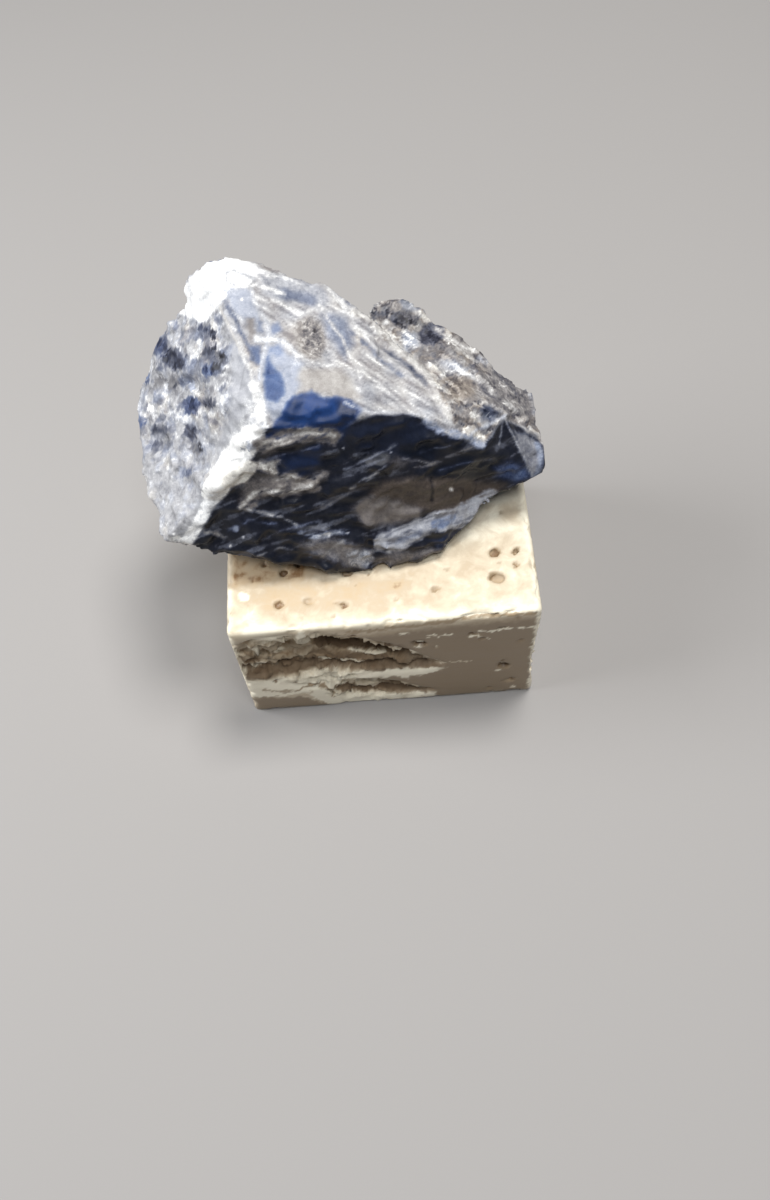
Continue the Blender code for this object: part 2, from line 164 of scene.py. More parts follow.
# Patches of mineral: outline in pixels, tone from dark 0 to white 1, blue, warm, how grainy, and how
# wide the haze is on either side of the edge, in pixels.
PATCHES = {
    "ridge_facet": (((229, 326), (241, 354), (252, 384), (255, 402), (247, 424), (238, 440), (226, 464),
        (215, 476), (218, 446), (229, 414), (233, 384), (230, 352)), 0.79, 0.06, 0.1, 0.08, 5.0),
    "white_peak": (((176, 312), (184, 288), (201, 266), (215, 252), (241, 256), (256, 264), (262, 272),
        (248, 284), (236, 288), (222, 303), (206, 322), (192, 320)), 0.97, 0.02, 0.03, 0.12, 2.0),
    "lilac": (((225, 290), (240, 286), (252, 292), (256, 305), (260, 320), (254, 330), (246, 326),
        (238, 314), (229, 305)), 0.8, 0.18, 0.0, 0.2, 3.5),
    "ridge_glow": (((246, 396), (258, 400), (262, 425), (252, 450), (238, 468), (226, 490), (206, 518),
        (192, 540), (180, 540), (196, 510), (208, 488), (216, 462), (228, 438), (240, 418)), 0.86, 0.02,
        0.05, 0.12, 7.0),
    "upper_grey": (((262, 275), (300, 279), (324, 285), (331, 300), (318, 308), (296, 302), (275, 300),
        (264, 292)), 0.76, 0.08, 0.1, 0.25, 5.0),
    "upper_blue_grey": (((278, 288), (296, 290), (316, 296), (312, 305), (292, 301), (280, 297)), 0.57,
        0.22, 0.05, 0.25, 3.5),
    "brown_grey": (((244, 320), (252, 319), (256, 334), (250, 339)), 0.56, 0.0, 0.45, 0.2, 3.5),
    "left_blue": (((249, 345), (261, 345), (263, 360), (258, 366), (251, 358)), 0.56, 0.35, 0.0, 0.2, 3.0),
    "small_blue": (((270, 325), (278, 323), (281, 331), (272, 335)), 0.66, 0.35, 0.0, 0.1, 3.0),
    "small_blue_left": (((258, 320), (263, 321), (264, 333), (259, 333)), 0.64, 0.25, 0.0, 0.1, 3.0),
    "pale_blue": (((269, 345), (283, 347), (302, 362), (302, 384), (291, 398), (284, 410), (273, 421),
        (266, 408), (262, 380), (263, 356)), 0.81, 0.22, 0.0, 0.15, 4.0),
    "light_blue": (((269, 346), (281, 346), (284, 353), (276, 356), (269, 353)), 0.74, 0.4, 0.0, 0.1, 3.0),
    "teardrop": (((269, 355), (273, 366), (279, 374), (284, 386), (282, 396), (275, 402), (267, 398),
        (263, 389), (265, 376), (267, 366)), 0.47, 0.62, 0.0, 0.12, 2.6),
    "brown_mottle": (((296, 320), (310, 314), (322, 324), (326, 344), (322, 360), (311, 362), (299, 353),
        (295, 338)), 0.69, 0.0, 0.45, 0.4, 6.0),
    "mottle_dark": (((303, 321), (312, 318), (320, 328), (322, 342), (321, 356), (313, 357), (304, 347),
        (301, 333)), 0.53, 0.0, 0.4, 0.8, 4.0),
    "smooth_beige": (((300, 367), (335, 369), (352, 380), (361, 397), (346, 400), (330, 393), (308, 391),
        (298, 381)), 0.76, 0.0, 0.42, 0.08, 5.0),
    "blue_grey_right": (((322, 312), (345, 318), (354, 342), (346, 358), (331, 342)), 0.64, 0.2, 0.0, 0.25,
        6.0),
    "blue_window": (((263, 438), (273, 428), (284, 408), (292, 397), (304, 393), (314, 391), (322, 398),
        (339, 397), (351, 402), (360, 410), (354, 420), (345, 425), (338, 434), (327, 435), (313, 430),
        (297, 428), (282, 431), (270, 440)), 0.29, 0.95, 0.0, 0.12, 3.5),
    "deep_blue_left": (((262, 438), (274, 427), (286, 408), (293, 399), (302, 402), (300, 416), (284, 428),
        (272, 438)), 0.2, 0.8, 0.0, 0.05, 5.0),
    "deep_blue_low": (((300, 431), (314, 420), (334, 416), (350, 420), (345, 432), (328, 437)), 0.2, 0.75,
        0.0, 0.05, 6.0),
    "blue_light_left": (((302, 396), (312, 394), (319, 402), (315, 409), (305, 405)), 0.38, 0.95, 0.0, 0.1,
        5.0),
    "blue_light_right": (((322, 401), (336, 399), (345, 404), (336, 409), (325, 409)), 0.34, 0.95, 0.0, 0.1,
        5.0),
    "deep_blue_right": (((336, 399), (352, 402), (361, 410), (356, 421), (342, 425), (337, 411)), 0.19, 0.6,
        0.0, 0.05, 5.0),
    "upper_navy": (((345, 434), (372, 420), (415, 419), (429, 430), (425, 440), (395, 450), (360, 452)),
        0.15, 0.15, 0.0, 0.1, 5.0),
    "window_foot": (((262, 440), (280, 428), (300, 427), (320, 434), (345, 434), (345, 443), (320, 441),
        (298, 437), (276, 442)), 0.2, 0.45, 0.0, 0.1, 5.0),
    "deep_navy": (((284, 456), (300, 449), (319, 446), (322, 460), (312, 473), (290, 474), (279, 466)),
        0.17, 0.4, 0.0, 0.08, 6.0),
    "cream_blotch": (((249, 464), (262, 459), (272, 462), (279, 471), (272, 477), (261, 472)), 0.78, 0.0,
        0.45, 0.6, 3.0),
    "brown_zone": (((244, 480), (262, 474), (282, 481), (312, 486), (300, 491), (270, 488), (250, 491),
        (238, 502)), 0.42, 0.0, 0.5, 0.25, 6.0),
    "purple_grey": (((386, 461), (398, 458), (412, 461), (406, 467), (392, 468)), 0.4, 0.0, 0.35, 0.2, 6.0),
    "low_translucent": (((300, 545), (322, 538), (350, 541), (372, 552), (366, 566), (345, 566),
        (318, 557)), 0.6, 0.05, 0.35, 0.35, 7.0),
    "low_pale": (((346, 553), (362, 549), (376, 559), (366, 569), (352, 566)), 0.76, 0.08, 0.0, 0.5, 2.0),
    "smoky": (((368, 492), (386, 479), (412, 476), (450, 477), (484, 479), (504, 485), (496, 497),
        (480, 507), (458, 515), (430, 512), (402, 506), (382, 502)), 0.31, 0.0, 0.9, 0.25, 6.0),
    "smoky_dark": (((456, 490), (470, 488), (475, 500), (463, 506), (452, 501)), 0.3, 0.0, 1.0, 0.1, 2.0),
    "grey_lilac": (((352, 508), (366, 497), (384, 497), (405, 502), (424, 510), (420, 519), (395, 523),
        (365, 527)), 0.53, 0.0, 0.55, 0.15, 5.0),
    "dark_facet": (((428, 541), (447, 533), (466, 529), (462, 543), (452, 547), (436, 546)), 0.28, 0.25,
        0.0, 0.1, 2.0),
    "low_brown_edge": (((370, 560), (400, 551), (425, 547), (446, 549), (436, 556), (410, 562), (385, 567)),
        0.48, 0.0, 0.45, 0.3, 4.0),
    "black_facet": (((396, 453), (420, 443), (450, 438), (465, 441), (455, 452), (425, 460), (405, 460)),
        0.04, 0.1, 0.0, 0.05, 4.0),
    "black_facet_right": (((424, 471), (450, 458), (475, 450), (500, 455), (503, 470), (470, 479),
        (430, 477)), 0.05, 0.05, 0.0, 0.05, 4.0),
    "tip_blue": (((493, 467), (508, 462), (527, 466), (530, 479), (516, 483), (498, 477)), 0.42, 0.45, 0.0,
        0.3, 5.0),
    "tip_face": (((513, 430), (536, 440), (543, 455), (540, 470), (532, 474), (522, 455)), 0.62, 0.06, 0.1,
        0.3, 4.0),
    "knob_pale": (((372, 316), (380, 305), (388, 304), (386, 314), (376, 322)), 0.72, 0.0, 0.3, 0.3, 2.0),
    "knob_grey": (((366, 319), (381, 304), (396, 300), (405, 312), (400, 327), (385, 327)), 0.58, 0.0, 0.4,
        0.4, 4.0),
    "knob_cap": (((397, 302), (404, 296), (420, 299), (426, 308), (414, 313), (402, 311)), 0.72, 0.08, 0.0,
        0.1, 2.0),
    "knob_dark": (((390, 316), (407, 311), (417, 317), (409, 329), (394, 327)), 0.42, 0.02, 0.3, 0.4, 4.0),
    # Painted shade in the recess behind the knob, with a purple tint.
    "purple_recess_shade": (((419, 332), (428, 322), (441, 322), (445, 335), (433, 347), (420, 342)), 0.36, 0.1,
        0.25, 0.4, 2.0),
    "lobe_lilac": (((400, 334), (417, 332), (420, 346), (405, 351)), 0.86, 0.15, 0.0, 0.3, 4.0),
    "lobe_cream": (((444, 334), (462, 335), (476, 350), (470, 357), (450, 349)), 0.76, 0.0, 0.35, 0.4, 2.0),
    "lobe_light_blue": (((441, 362), (458, 359), (469, 368), (464, 374), (448, 371)), 0.8, 0.12, 0.0, 0.15,
        5.0),
    "lobe_beige": (((447, 382), (462, 377), (475, 384), (473, 398), (457, 403), (446, 395)), 0.61, 0.0, 0.7,
        0.2, 5.0),
    "lobe_speckled": (((476, 376), (500, 370), (535, 392), (539, 416), (520, 421), (505, 415), (490, 402),
        (476, 392)), 0.63, 0.02, 0.35, 0.5, 6.0),
    "lobe_violet": (((479, 409), (491, 405), (500, 414), (494, 423), (481, 421)), 0.42, 0.12, 0.0, 0.3,
        4.0),
}

# Veins, ridges and streaks: line in pixels, width in pixels, tone, blue, warm and raggedness.
VEINS = {
    "ridge_band_high": (((220, 306), (231, 331), (241, 352)), 2.8, 0.84, 0.0, 0.35, 0.0),
    "ridge_band_middle": (((241, 352), (250, 371), (254, 389)), 3.4, 0.88, 0.0, 0.2, 0.0),
    "ridge_band_low": (((254, 386), (260, 404), (262, 420), (256, 440)), 11.0, 0.92, 0.0, 0.1, 0.05),
    "ridge_mass": (((252, 438), (240, 452), (228, 468), (221, 481)), 26.0, 1.0, 0.0, 0.08, 0.2),
    "ridge_lump": (((226, 476), (214, 491)), 25.0, 1.0, 0.0, 0.15, 0.2),
    "ridge_foot": (((213, 498), (203, 515), (195, 529), (187, 543)), 13.0, 0.97, 0.02, 0.0, 0.25),
    "cream_lump": (((229, 481), (240, 476), (249, 468)), 16.0, 0.95, 0.0, 0.6, 0.2),
    "ridge_shadow": (((226, 303), (235, 321), (246, 342), (254, 358)), 3.0, 0.5, 0.2, 0.0, 0.4),
    "left_rim": (((172, 322), (156, 342), (146, 365), (140, 390), (137, 415)), 5.0, 0.86, 0.05, 0.0, 0.9),
    "cross_left": (((256, 340), (273, 339), (284, 342), (293, 349), (298, 355)), 4.2, 0.95, 0.08, 0.0, 0.3),
    "cross_thin": (((297, 354), (309, 361), (321, 364), (339, 365), (347, 369), (360, 378)), 1.8, 0.93, 0.0,
        0.1, 0.5),
    "cross_up": (((250, 288), (257, 303), (262, 313), (268, 325), (268, 338)), 3.6, 0.88, 0.08, 0.0, 0.6),
    "cross_down": (((267, 342), (264, 352), (261, 364), (259, 380)), 2.6, 0.88, 0.15, 0.0, 0.3),
    "peak_line": (((226, 272), (234, 270), (246, 275), (255, 280)), 1.8, 0.78, 0.0, 0.0, 0.2),
    "peak_line_low": (((226, 272), (227, 281), (236, 286), (250, 285)), 1.8, 0.8, 0.0, 0.0, 0.2),
    "upper_white": (((236, 287), (254, 285), (270, 288), (284, 294)), 4.0, 0.95, 0.0, 0.1, 0.4),
    "upper_white_edge": (((255, 268), (275, 275), (300, 283)), 3.0, 0.92, 0.0, 0.0, 0.4),
    "upper_diagonal": (((272, 300), (285, 306), (298, 314), (312, 311)), 3.0, 0.93, 0.0, 0.2, 0.4),
    "right_diagonal": (((318, 304), (335, 328), (348, 350), (358, 372)), 2.6, 0.9, 0.0, 0.2, 0.5),
    "right_diagonal_low": (((332, 292), (344, 308), (360, 328), (376, 350)), 2.6, 0.9, 0.05, 0.2, 0.5),
    "back_edge": (((323, 281), (331, 292), (344, 306), (366, 315)), 4.0, 0.9, 0.0, 0.1, 0.5),
    "crest": (((354, 311), (367, 317), (377, 327), (396, 346), (419, 369), (430, 381), (439, 402),
        (450, 416)), 7.0, 0.86, 0.0, 0.35, 0.4),
    "crest_groove": (((384, 349), (398, 358), (411, 367), (428, 387)), 3.4, 0.4, 0.1, 0.1, 0.8),
    "crest_groove_low": (((350, 332), (366, 345), (384, 362), (402, 376)), 3.0, 0.58, 0.2, 0.0, 0.8),
    "front_edge_white": (((345, 403), (358, 409), (374, 413), (398, 413), (417, 415)), 3.5, 0.86, 0.1, 0.1,
        0.5),
    "front_edge_blue": (((428, 423), (442, 432), (457, 435), (470, 438), (482, 445)), 8.0, 0.76, 0.3, 0.0,
        0.9),
    "streak_high_glow": (((262, 446), (276, 441), (294, 436), (312, 434), (332, 436)), 17.0, 0.5, 0.0, 0.45,
        0.7),
    "streak_high": (((262, 444), (275, 441), (292, 435), (309, 432), (321, 434), (334, 436)), 4.6, 0.88,
        0.0, 0.35, 0.8),
    "streak_high_low": (((268, 448), (282, 444), (298, 440)), 3.6, 0.84, 0.0, 0.4, 0.8),
    "streak_middle_glow": (((266, 481), (284, 478), (300, 480), (324, 477)), 12.0, 0.5, 0.0, 0.45, 0.7),
    "streak_middle": (((275, 480), (284, 477), (293, 477), (306, 480), (321, 477)), 3.6, 0.9, 0.0, 0.3,
        0.8),
    "streak_low_glow": (((246, 502), (256, 492), (270, 490), (290, 489), (314, 484)), 17.0, 0.52, 0.0, 0.5,
        0.7),
    "streak_low": (((240, 508), (247, 500), (254, 494), (264, 491), (276, 492), (290, 491), (301, 489),
        (311, 485)), 5.0, 0.92, 0.0, 0.3, 0.7),
    "streak_under": (((278, 486), (296, 485), (318, 481)), 2.4, 0.78, 0.0, 0.4, 0.8),
    "streak_left": (((252, 470), (266, 465), (280, 462)), 3.6, 0.8, 0.0, 0.4, 0.8),
    "streak_above": (((284, 440), (304, 428), (330, 428)), 2.6, 0.7, 0.0, 0.3, 0.9),
    "streak_thin": (((247, 509), (267, 513), (284, 519), (296, 524)), 3.0, 0.9, 0.05, 0.1, 0.7),
    "streak_right": (((350, 489), (361, 482), (370, 477), (385, 466)), 3.0, 0.9, 0.05, 0.1, 0.8),
    "cleavage_high": (((345, 470), (372, 457), (396, 444)), 2.2, 0.6, 0.1, 0.1, 0.6),
    "cleavage_left": (((262, 462), (292, 452), (318, 447)), 2.2, 0.52, 0.2, 0.1, 0.8),
    "cleavage_middle": (((322, 508), (345, 496), (368, 486)), 2.2, 0.62, 0.1, 0.2, 0.8),
    "cleavage_low": (((262, 540), (290, 528), (318, 520)), 2.2, 0.55, 0.2, 0.1, 0.8),
    "cleavage_low_left": (((228, 530), (250, 520), (276, 524)), 2.2, 0.6, 0.3, 0.0, 0.9),
    "cleavage_right": (((420, 452), (446, 446), (468, 442)), 2.2, 0.5, 0.1, 0.0, 0.7),
    "cleavage_far": (((440, 470), (470, 462), (500, 458)), 2.2, 0.45, 0.2, 0.0, 0.7),
    "streak_far": (((404, 459), (420, 460), (431, 464), (438, 461), (452, 455), (472, 448)), 2.6, 0.6, 0.0,
        0.25, 0.7),
    "streak_far_low": (((415, 468), (428, 466), (440, 462)), 2.4, 0.6, 0.0, 0.3, 0.7),
    "crack": (((431, 478), (432, 488), (432, 500)), 2.0, 0.06, 0.0, 0.5, 0.3),
    "crust": (((491, 500), (476, 508), (458, 517), (437, 522), (424, 528), (405, 536), (386, 543)), 22.0,
        0.8, 0.12, 0.1, 0.4),
    "crust_blue": (((452, 519), (436, 525)), 9.0, 0.68, 0.4, 0.0, 0.8),
    "crust_low": (((420, 533), (398, 541)), 5.0, 0.6, 0.2, 0.0, 0.8),
    "low_rim": (((258, 555), (271, 552), (280, 548), (292, 549)), 2.0, 0.72, 0.0, 0.1, 0.6),
    "low_left_pale": (((206, 531), (216, 533), (225, 537)), 4.0, 0.75, 0.0, 0.2, 0.8),
    "fleck_line": (((300, 533), (316, 536), (331, 534), (350, 532)), 4.0, 0.88, 0.3, 0.0, 1.6),
    "low_vein": (((322, 557), (334, 547), (345, 540)), 2.0, 0.75, 0.0, 0.1, 0.5),
    "fan_left": (((504, 417), (496, 430), (484, 443)), 1.8, 0.82, 0.05, 0.0, 0.4),
    "fan_middle": (((504, 417), (501, 432), (499, 444)), 1.5, 0.75, 0.05, 0.0, 0.4),
    "fan_long": (((504, 417), (514, 438), (526, 461), (532, 475), (531, 487)), 1.7, 0.88, 0.05, 0.0, 0.4),
    "fan_right": (((504, 417), (520, 427), (537, 438)), 1.6, 0.84, 0.0, 0.15, 0.6),
    "fan_back": (((504, 417), (492, 423), (481, 428), (468, 437)), 2.4, 0.9, 0.2, 0.0, 0.5),
    "tip_rim": (((537, 444), (541, 456), (541, 465), (536, 477), (529, 488)), 6.0, 0.76, 0.3, 0.0, 0.4),
    "lobe_rim": (((479, 356), (497, 370), (514, 377), (532, 394), (535, 412)), 3.4, 0.86, 0.15, 0.0, 0.8),
    "lobe_outline": (((441, 376), (455, 371), (470, 375), (479, 384)), 3.0, 0.95, 0.0, 0.05, 0.5),
    "lobe_dark_line": (((474, 382), (490, 394), (506, 409)), 2.4, 0.35, 0.05, 0.3, 0.8),
    "lobe_dark_high": (((484, 365), (500, 377), (517, 393)), 2.4, 0.38, 0.05, 0.2, 0.9),
    "lobe_dark_low": (((458, 408), (470, 420), (482, 432)), 2.4, 0.4, 0.05, 0.3, 0.9),
    "lobe_olive": (((441, 351), (455, 357), (468, 364)), 3.0, 0.45, 0.0, 0.7, 0.8),
    "lobe_cream_line": (((436, 328), (452, 338), (470, 350)), 5.0, 0.88, 0.0, 0.3, 0.7),
    "lobe_line": (((448, 352), (464, 362), (480, 378), (500, 398), (520, 412)), 2.4, 0.88, 0.0, 0.15, 0.8),
}

# Single crystals that catch the light: place in pixels, size in pixels, tone and blue.
FLECKS = {
    "fleck_window": ((284, 375), 2.4, 1.0, 0.0),
    "fleck_lilac": ((242, 300), 2.4, 1.0, 0.0),
    "fleck_smoky": ((451, 489), 5.0, 0.98, 0.0),
    "fleck_low": ((329, 535), 4.5, 0.98, 0.3),
    "fleck_low_right": ((348, 533), 2.6, 0.95, 0.2),
    "fleck_low_left": ((243, 537), 2.8, 0.95, 0.2),
    "fleck_foot": ((236, 529), 6.0, 0.78, 0.4),
    "fleck_foot_low": ((230, 546), 3.0, 0.9, 0.1),
    "fleck_edge": ((446, 545), 2.2, 1.0, 0.0),
    "fleck_edge_right": ((452, 546), 2.2, 1.0, 0.0),
    "fleck_front": ((343, 448), 3.0, 0.8, 0.1),
    "fleck_front_right": ((390, 452), 2.4, 0.7, 0.1),
    "dark_crystal_edge": ((159, 346), 16.9, 0.24, 0.3),
    "dark_crystal_large": ((173, 359), 20.8, 0.22, 0.15),
    "dark_crystal_high": ((205, 328), 10.4, 0.32, 0.2),
    "dark_crystal_high_right": ((213, 336), 10.4, 0.34, 0.1),
    "dark_crystal_middle": ((211, 354), 14.3, 0.22, 0.1),
    "dark_crystal_right": ((222, 358), 11.7, 0.28, 0.0),
    "dark_crystal_under": ((218, 367), 10.4, 0.24, 0.05),
    "dark_crystal_blue": ((208, 370), 11.7, 0.36, 0.45),
    "dark_crystal_centre": ((192, 405), 16.9, 0.3, 0.4),
    "dark_crystal_small": ((208, 404), 11.7, 0.2, 0.1),
    "dark_crystal_brown": ((173, 384), 11.7, 0.34, 0.0),
    "dark_crystal_brown_left": ((160, 381), 10.4, 0.4, 0.0),
    "dark_crystal_rim": ((144, 377), 10.4, 0.36, 0.4),
    "dark_crystal_rim_low": ((140, 424), 10.4, 0.36, 0.5),
    "dark_crystal_low_left": ((160, 430), 14.3, 0.42, 0.1),
    "dark_crystal_low_edge": ((156, 446), 11.7, 0.44, 0.1),
    "dark_crystal_low": ((191, 434), 14.3, 0.3, 0.1),
    "dark_crystal_lower": ((197, 448), 13.0, 0.28, 0.0),
    "knob_spot": ((384, 311), 7.5, 0.34, 0.0),
    "knob_spot_right": ((396, 319), 8.0, 0.3, 0.1),
    "knob_spot_left": ((374, 316), 7.0, 0.4, 0.0),
    "knob_white": ((386, 322), 6.0, 0.9, 0.0),
    "blue_crystal_low": ((184, 472), 9.0, 0.62, 0.25),
    "blue_crystal_high": ((190, 386), 9.0, 0.66, 0.3),
    "white_crystal_rim": ((149, 366), 8.0, 1.0, 0.0),
    "white_crystal_left": ((150, 408), 10.0, 0.98, 0.0),
    "white_crystal_foot": ((175, 538), 9.0, 0.97, 0.05),
    "spot_lilac": ((264, 427), 9.0, 0.8, 0.25),
    "spot_lilac_low": ((249, 447), 10.0, 0.76, 0.3),
}

# Relief that follows the photograph: line in pixels, width in pixels, and height in millimetres.
RELIEF_LINES = {
    "ridge": (((222, 306), (232, 331), (241, 352), (251, 371), (256, 389), (261, 414), (254, 440)), 11.0,
        0.2),
    "ridge_side": (((230, 303), (240, 330), (252, 352), (258, 366)), 5.0, -0.2),
    "ridge_mass": (VEINS["ridge_mass"][0], 20.0, 0.2),
    "ridge_lump": (((224, 474), (216, 489)), 17.0, 0.4),
    "crest": (((354, 311), (367, 317), (377, 327), (396, 346), (419, 369), (430, 381), (439, 402),
        (452, 418)), 8.0, 0.22),
    "crest_groove": (((384, 349), (398, 358), (411, 367), (428, 387), (440, 410)), 6.0, -0.35),
    "front_rim": (VEINS["front_edge_blue"][0], 8.0, 0.2),
    "crust": (((491, 500), (476, 508), (458, 518), (437, 523), (424, 529), (405, 537), (386, 543)), 18.0,
        0.25),
    "streak_high": (((262, 444), (275, 441), (292, 435), (309, 432), (334, 436)), 10.0, 0.06),
    "streak_middle": (((275, 480), (293, 477), (321, 477)), 9.0, 0.05),
    "streak_low": (((240, 508), (254, 494), (276, 492), (311, 485)), 10.0, 0.08),
    "streak_low_step": (((250, 503), (276, 500), (312, 493)), 6.0, -0.15),
    "streak_right": (((350, 489), (370, 477), (385, 466)), 6.0, 0.12),
    "cross": (((256, 340), (273, 339), (284, 342), (297, 354), (321, 364), (347, 369)), 5.0, 0.06),
    "lobe_line": (VEINS["lobe_line"][0], 6.0, 0.25),
    "fan_long": (VEINS["fan_long"][0][:4], 5.0, 0.2),
    "fan_back": (VEINS["fan_back"][0], 5.0, 0.2),
    "fan_left": (VEINS["fan_left"][0], 5.0, 0.15),
    "knob_cap": (((402, 306), (412, 304), (422, 308)), 12.0, 0.9),
    "tip": (((539, 448), (542, 458), (541, 470)), 9.0, 0.9),
    "smoky_crack": (VEINS["crack"][0], 3.0, -0.3),
}

# Pores in the block's top: place and reach in pixels, depth in millimetres, and how dark inside.
PORES = {
    "large": ((498, 577), (8.5, 5.5), 0.5, 0.45),
    "large_rim": ((493, 575), (4.5, 4.0), 0.3, 0.75),
    "triangle": ((495, 552), (6.0, 4.5), 0.5, 0.85),
    "right": ((516, 551), (3.6, 3.0), 0.5, 0.8),
    "right_low": ((516, 564), (2.8, 4.0), 0.4, 0.8),
    "between": ((435, 589), (4.5, 3.2), 0.4, 0.75),
    "faint": ((396, 599), (4.0, 2.2), 0.2, 0.3),
    "dark_brown": ((343, 605), (4.0, 3.6), 0.5, 0.95),
    "dark_brown_tail": ((337, 603), (3.0, 1.8), 0.2, 0.6),
    "pale_triangle": ((308, 601), (6.0, 4.0), 0.25, 0.35),
    "left_low": ((279, 605), (4.6, 3.8), 0.4, 0.7),
    "box": ((346, 573), (6.5, 3.0), 0.5, 0.85),
    "tiny": ((356, 584), (2.2, 1.4), 0.2, 0.9),
    "tiny_right": ((368, 575), (1.8, 1.6), 0.2, 0.7),
    "black": ((284, 573), (4.4, 3.6), 0.6, 1.0),
    "black_right": ((299, 565), (3.6, 2.6), 0.5, 1.0),
    "left": ((264, 565), (3.0, 2.8), 0.4, 0.9),
    "left_edge": ((252, 580), (2.0, 1.6), 0.3, 0.8),
    "far": ((447, 569), (3.6, 2.0), 0.15, 0.35),
    "above_large": ((501, 564), (3.0, 1.8), 0.15, 0.4),
}

# Brown stains in the block's top: place and size in pixels, and strength.
STAINS = {
    "right": ((508, 513), 16.0, 0.35),
    "right_pore": ((498, 566), 26.0, 0.18),
    # Painted shade of the stone on the left of the block's top, as a faint brown stain.
    "left_shade": ((262, 572), 30.0, 0.15),
    "middle": ((430, 588), 22.0, 0.15),
}

# Patches of the block: outline in pixels, stain from white 0 to rust 1, darkness, and edge in pixels. Several
# of them paint shade or light, as said at each.
BLOCK_PATCHES = {
    # Painted shadow of the stone on the block's top, as a light brown stain with some darkness.
    "shade": (((222, 540), (330, 540), (420, 562), (380, 566), (347, 570), (316, 577), (288, 583),
        (259, 586), (222, 587)), 0.8, 0.3, 5.0),
    # The next two patches are the top's own beige and pinkish beige, with painted shade of the stone's soft
    # shadow behind the bright front strip.
    "top_beige_and_shade": (((262, 592), (347, 574), (430, 568), (512, 535), (534, 560), (534, 592), (440, 606),
        (340, 616), (262, 618)), 0.4, 0.0, 12.0),
    "top_pink_and_shade": (((236, 590), (256, 588), (300, 582), (346, 581), (400, 576), (420, 584), (352, 603),
        (320, 610), (268, 613), (242, 606)), 0.6, 0.0, 9.0),
    # Painted shadow of the stone on the left end of the block's top.
    "left_strip": (((222, 548), (234, 548), (235, 588), (222, 588)), 0.75, 0.15, 3.0),
    # The next two patches darken the sawn front, which is turned from the light: its own browner colour, with
    # painted shade.
    "sawn_front": (((345, 640), (440, 627), (536, 618), (532, 689), (452, 698), (400, 700)), 0.66, 0.6,
        4.0),
    "sawn_low_left": (((250, 698), (303, 697), (322, 703), (346, 708), (258, 718)), 0.62, 0.6, 1.5),
    "beds_left": (((232, 641), (262, 643), (272, 640), (290, 641), (312, 645), (312, 657), (285, 656),
        (262, 655), (240, 654)), 0.5, 0.25, 3.0),
    # The three recess patches are partly iron stain and partly painted shade in the hollows.
    "recess_high": (((311, 634), (340, 635), (357, 640), (378, 643), (404, 646), (414, 652), (380, 652),
        (352, 649), (330, 646), (314, 643)), 0.9, 0.85, 1.5),
    "recess_middle": (((312, 646), (350, 650), (378, 653), (404, 653), (424, 659), (447, 668), (424, 667),
        (400, 667), (382, 669), (356, 669), (330, 666), (306, 670), (308, 656)), 0.85, 0.8, 1.5),
    "recess_left": (((236, 655), (262, 657), (290, 657), (308, 659), (307, 670), (281, 676), (248, 681),
        (241, 668)), 0.85, 0.76, 2.0),
    # The next two patches are paler than the palest travertine: painted light on ledges that face up.
    "shelf": (((246, 683), (287, 680), (320, 671), (338, 670), (369, 674), (382, 671), (394, 668),
        (394, 677), (369, 677), (338, 683), (321, 686), (307, 692), (281, 696), (251, 697)), -0.25, 0.0,
        1.5),
    "shelf_right": (((386, 670), (404, 667), (426, 668), (447, 668), (426, 674), (404, 678), (390, 676)),
        -0.2, 0.0, 1.2),
    # Partly iron stain, partly painted shade in the slot.
    "slot": (((333, 683), (356, 682), (370, 686), (387, 682), (406, 684), (422, 688), (437, 688),
        (426, 691), (404, 690), (382, 690), (356, 692), (338, 689)), 0.85, 0.82, 1.2),
    # Painted light on the ledge below the slot, which faces up.
    "strip_low": (((308, 693), (340, 692), (382, 692), (404, 692), (436, 692), (436, 696), (404, 699),
        (352, 704), (345, 707), (322, 702)), -0.2, 0.02, 1.5),
}

# Lines on the block, such as ledges and scratches: line and width in pixels, stain and darkness.
BLOCK_LINES = {
    "edge_line": (((346, 634), (391, 628), (435, 623), (479, 617), (538, 613)), 2.2, 0.8, 0.3),
    "bed_left_high": (((236, 650), (250, 652), (266, 650)), 2.4, 0.8, 0.6),
    "bed_left_roof": (((240, 643), (258, 644), (272, 641), (290, 643)), 1.6, 0.8, 0.4),
    "bed_left_middle": (((262, 652), (276, 654), (294, 651), (306, 647)), 1.8, 0.8, 0.45),
    "bed_left_pale": (((240, 661), (256, 663), (270, 662)), 2.4, 0.0, 0.0),
    "bed_left_arc": (((254, 671), (266, 666), (280, 668)), 2.0, 0.1, 0.0),
    "bed_left_low": (((262, 660), (276, 662), (290, 658)), 3.0, 0.5, 0.15),
    "bed_middle": (((300, 655), (322, 652), (338, 655)), 2.0, 0.85, 0.5),
    "bed_pale": (((318, 660), (340, 658), (362, 661)), 3.4, -0.1, 0.0),
    "bed_pale_right": (((350, 648), (372, 650), (384, 651)), 3.4, -0.1, 0.0),
    "shelf_crack": (((299, 690), (312, 682), (326, 686), (334, 696)), 1.6, 0.75, 0.4),
    "shelf_shade": (((262, 690), (280, 692), (297, 690)), 1.6, 0.55, 0.2),
    "scratch_high": (((478, 632), (500, 630), (520, 628), (536, 627)), 1.6, -0.2, 0.0),
    "scratch_pits": (((468, 637), (478, 636), (488, 639)), 1.8, -0.2, 0.0),
    "scratch_left": (((400, 634), (410, 633)), 1.5, -0.1, 0.0),
    "scratch_middle": (((428, 636), (452, 634)), 1.5, 0.0, 0.0),
    "scratch_low": (((436, 662), (470, 661)), 1.0, 0.3, 0.0),
    "rim_right": (((541, 616), (538, 632), (533, 650), (532, 687)), 6.0, -0.1, 0.0),
    "rim_left": (((230, 642), (237, 655), (244, 672), (249, 694)), 3.0, 0.2, 0.0),
    "left_low_rim": (((250, 700), (254, 708), (259, 716)), 2.5, 0.2, 0.0),
}

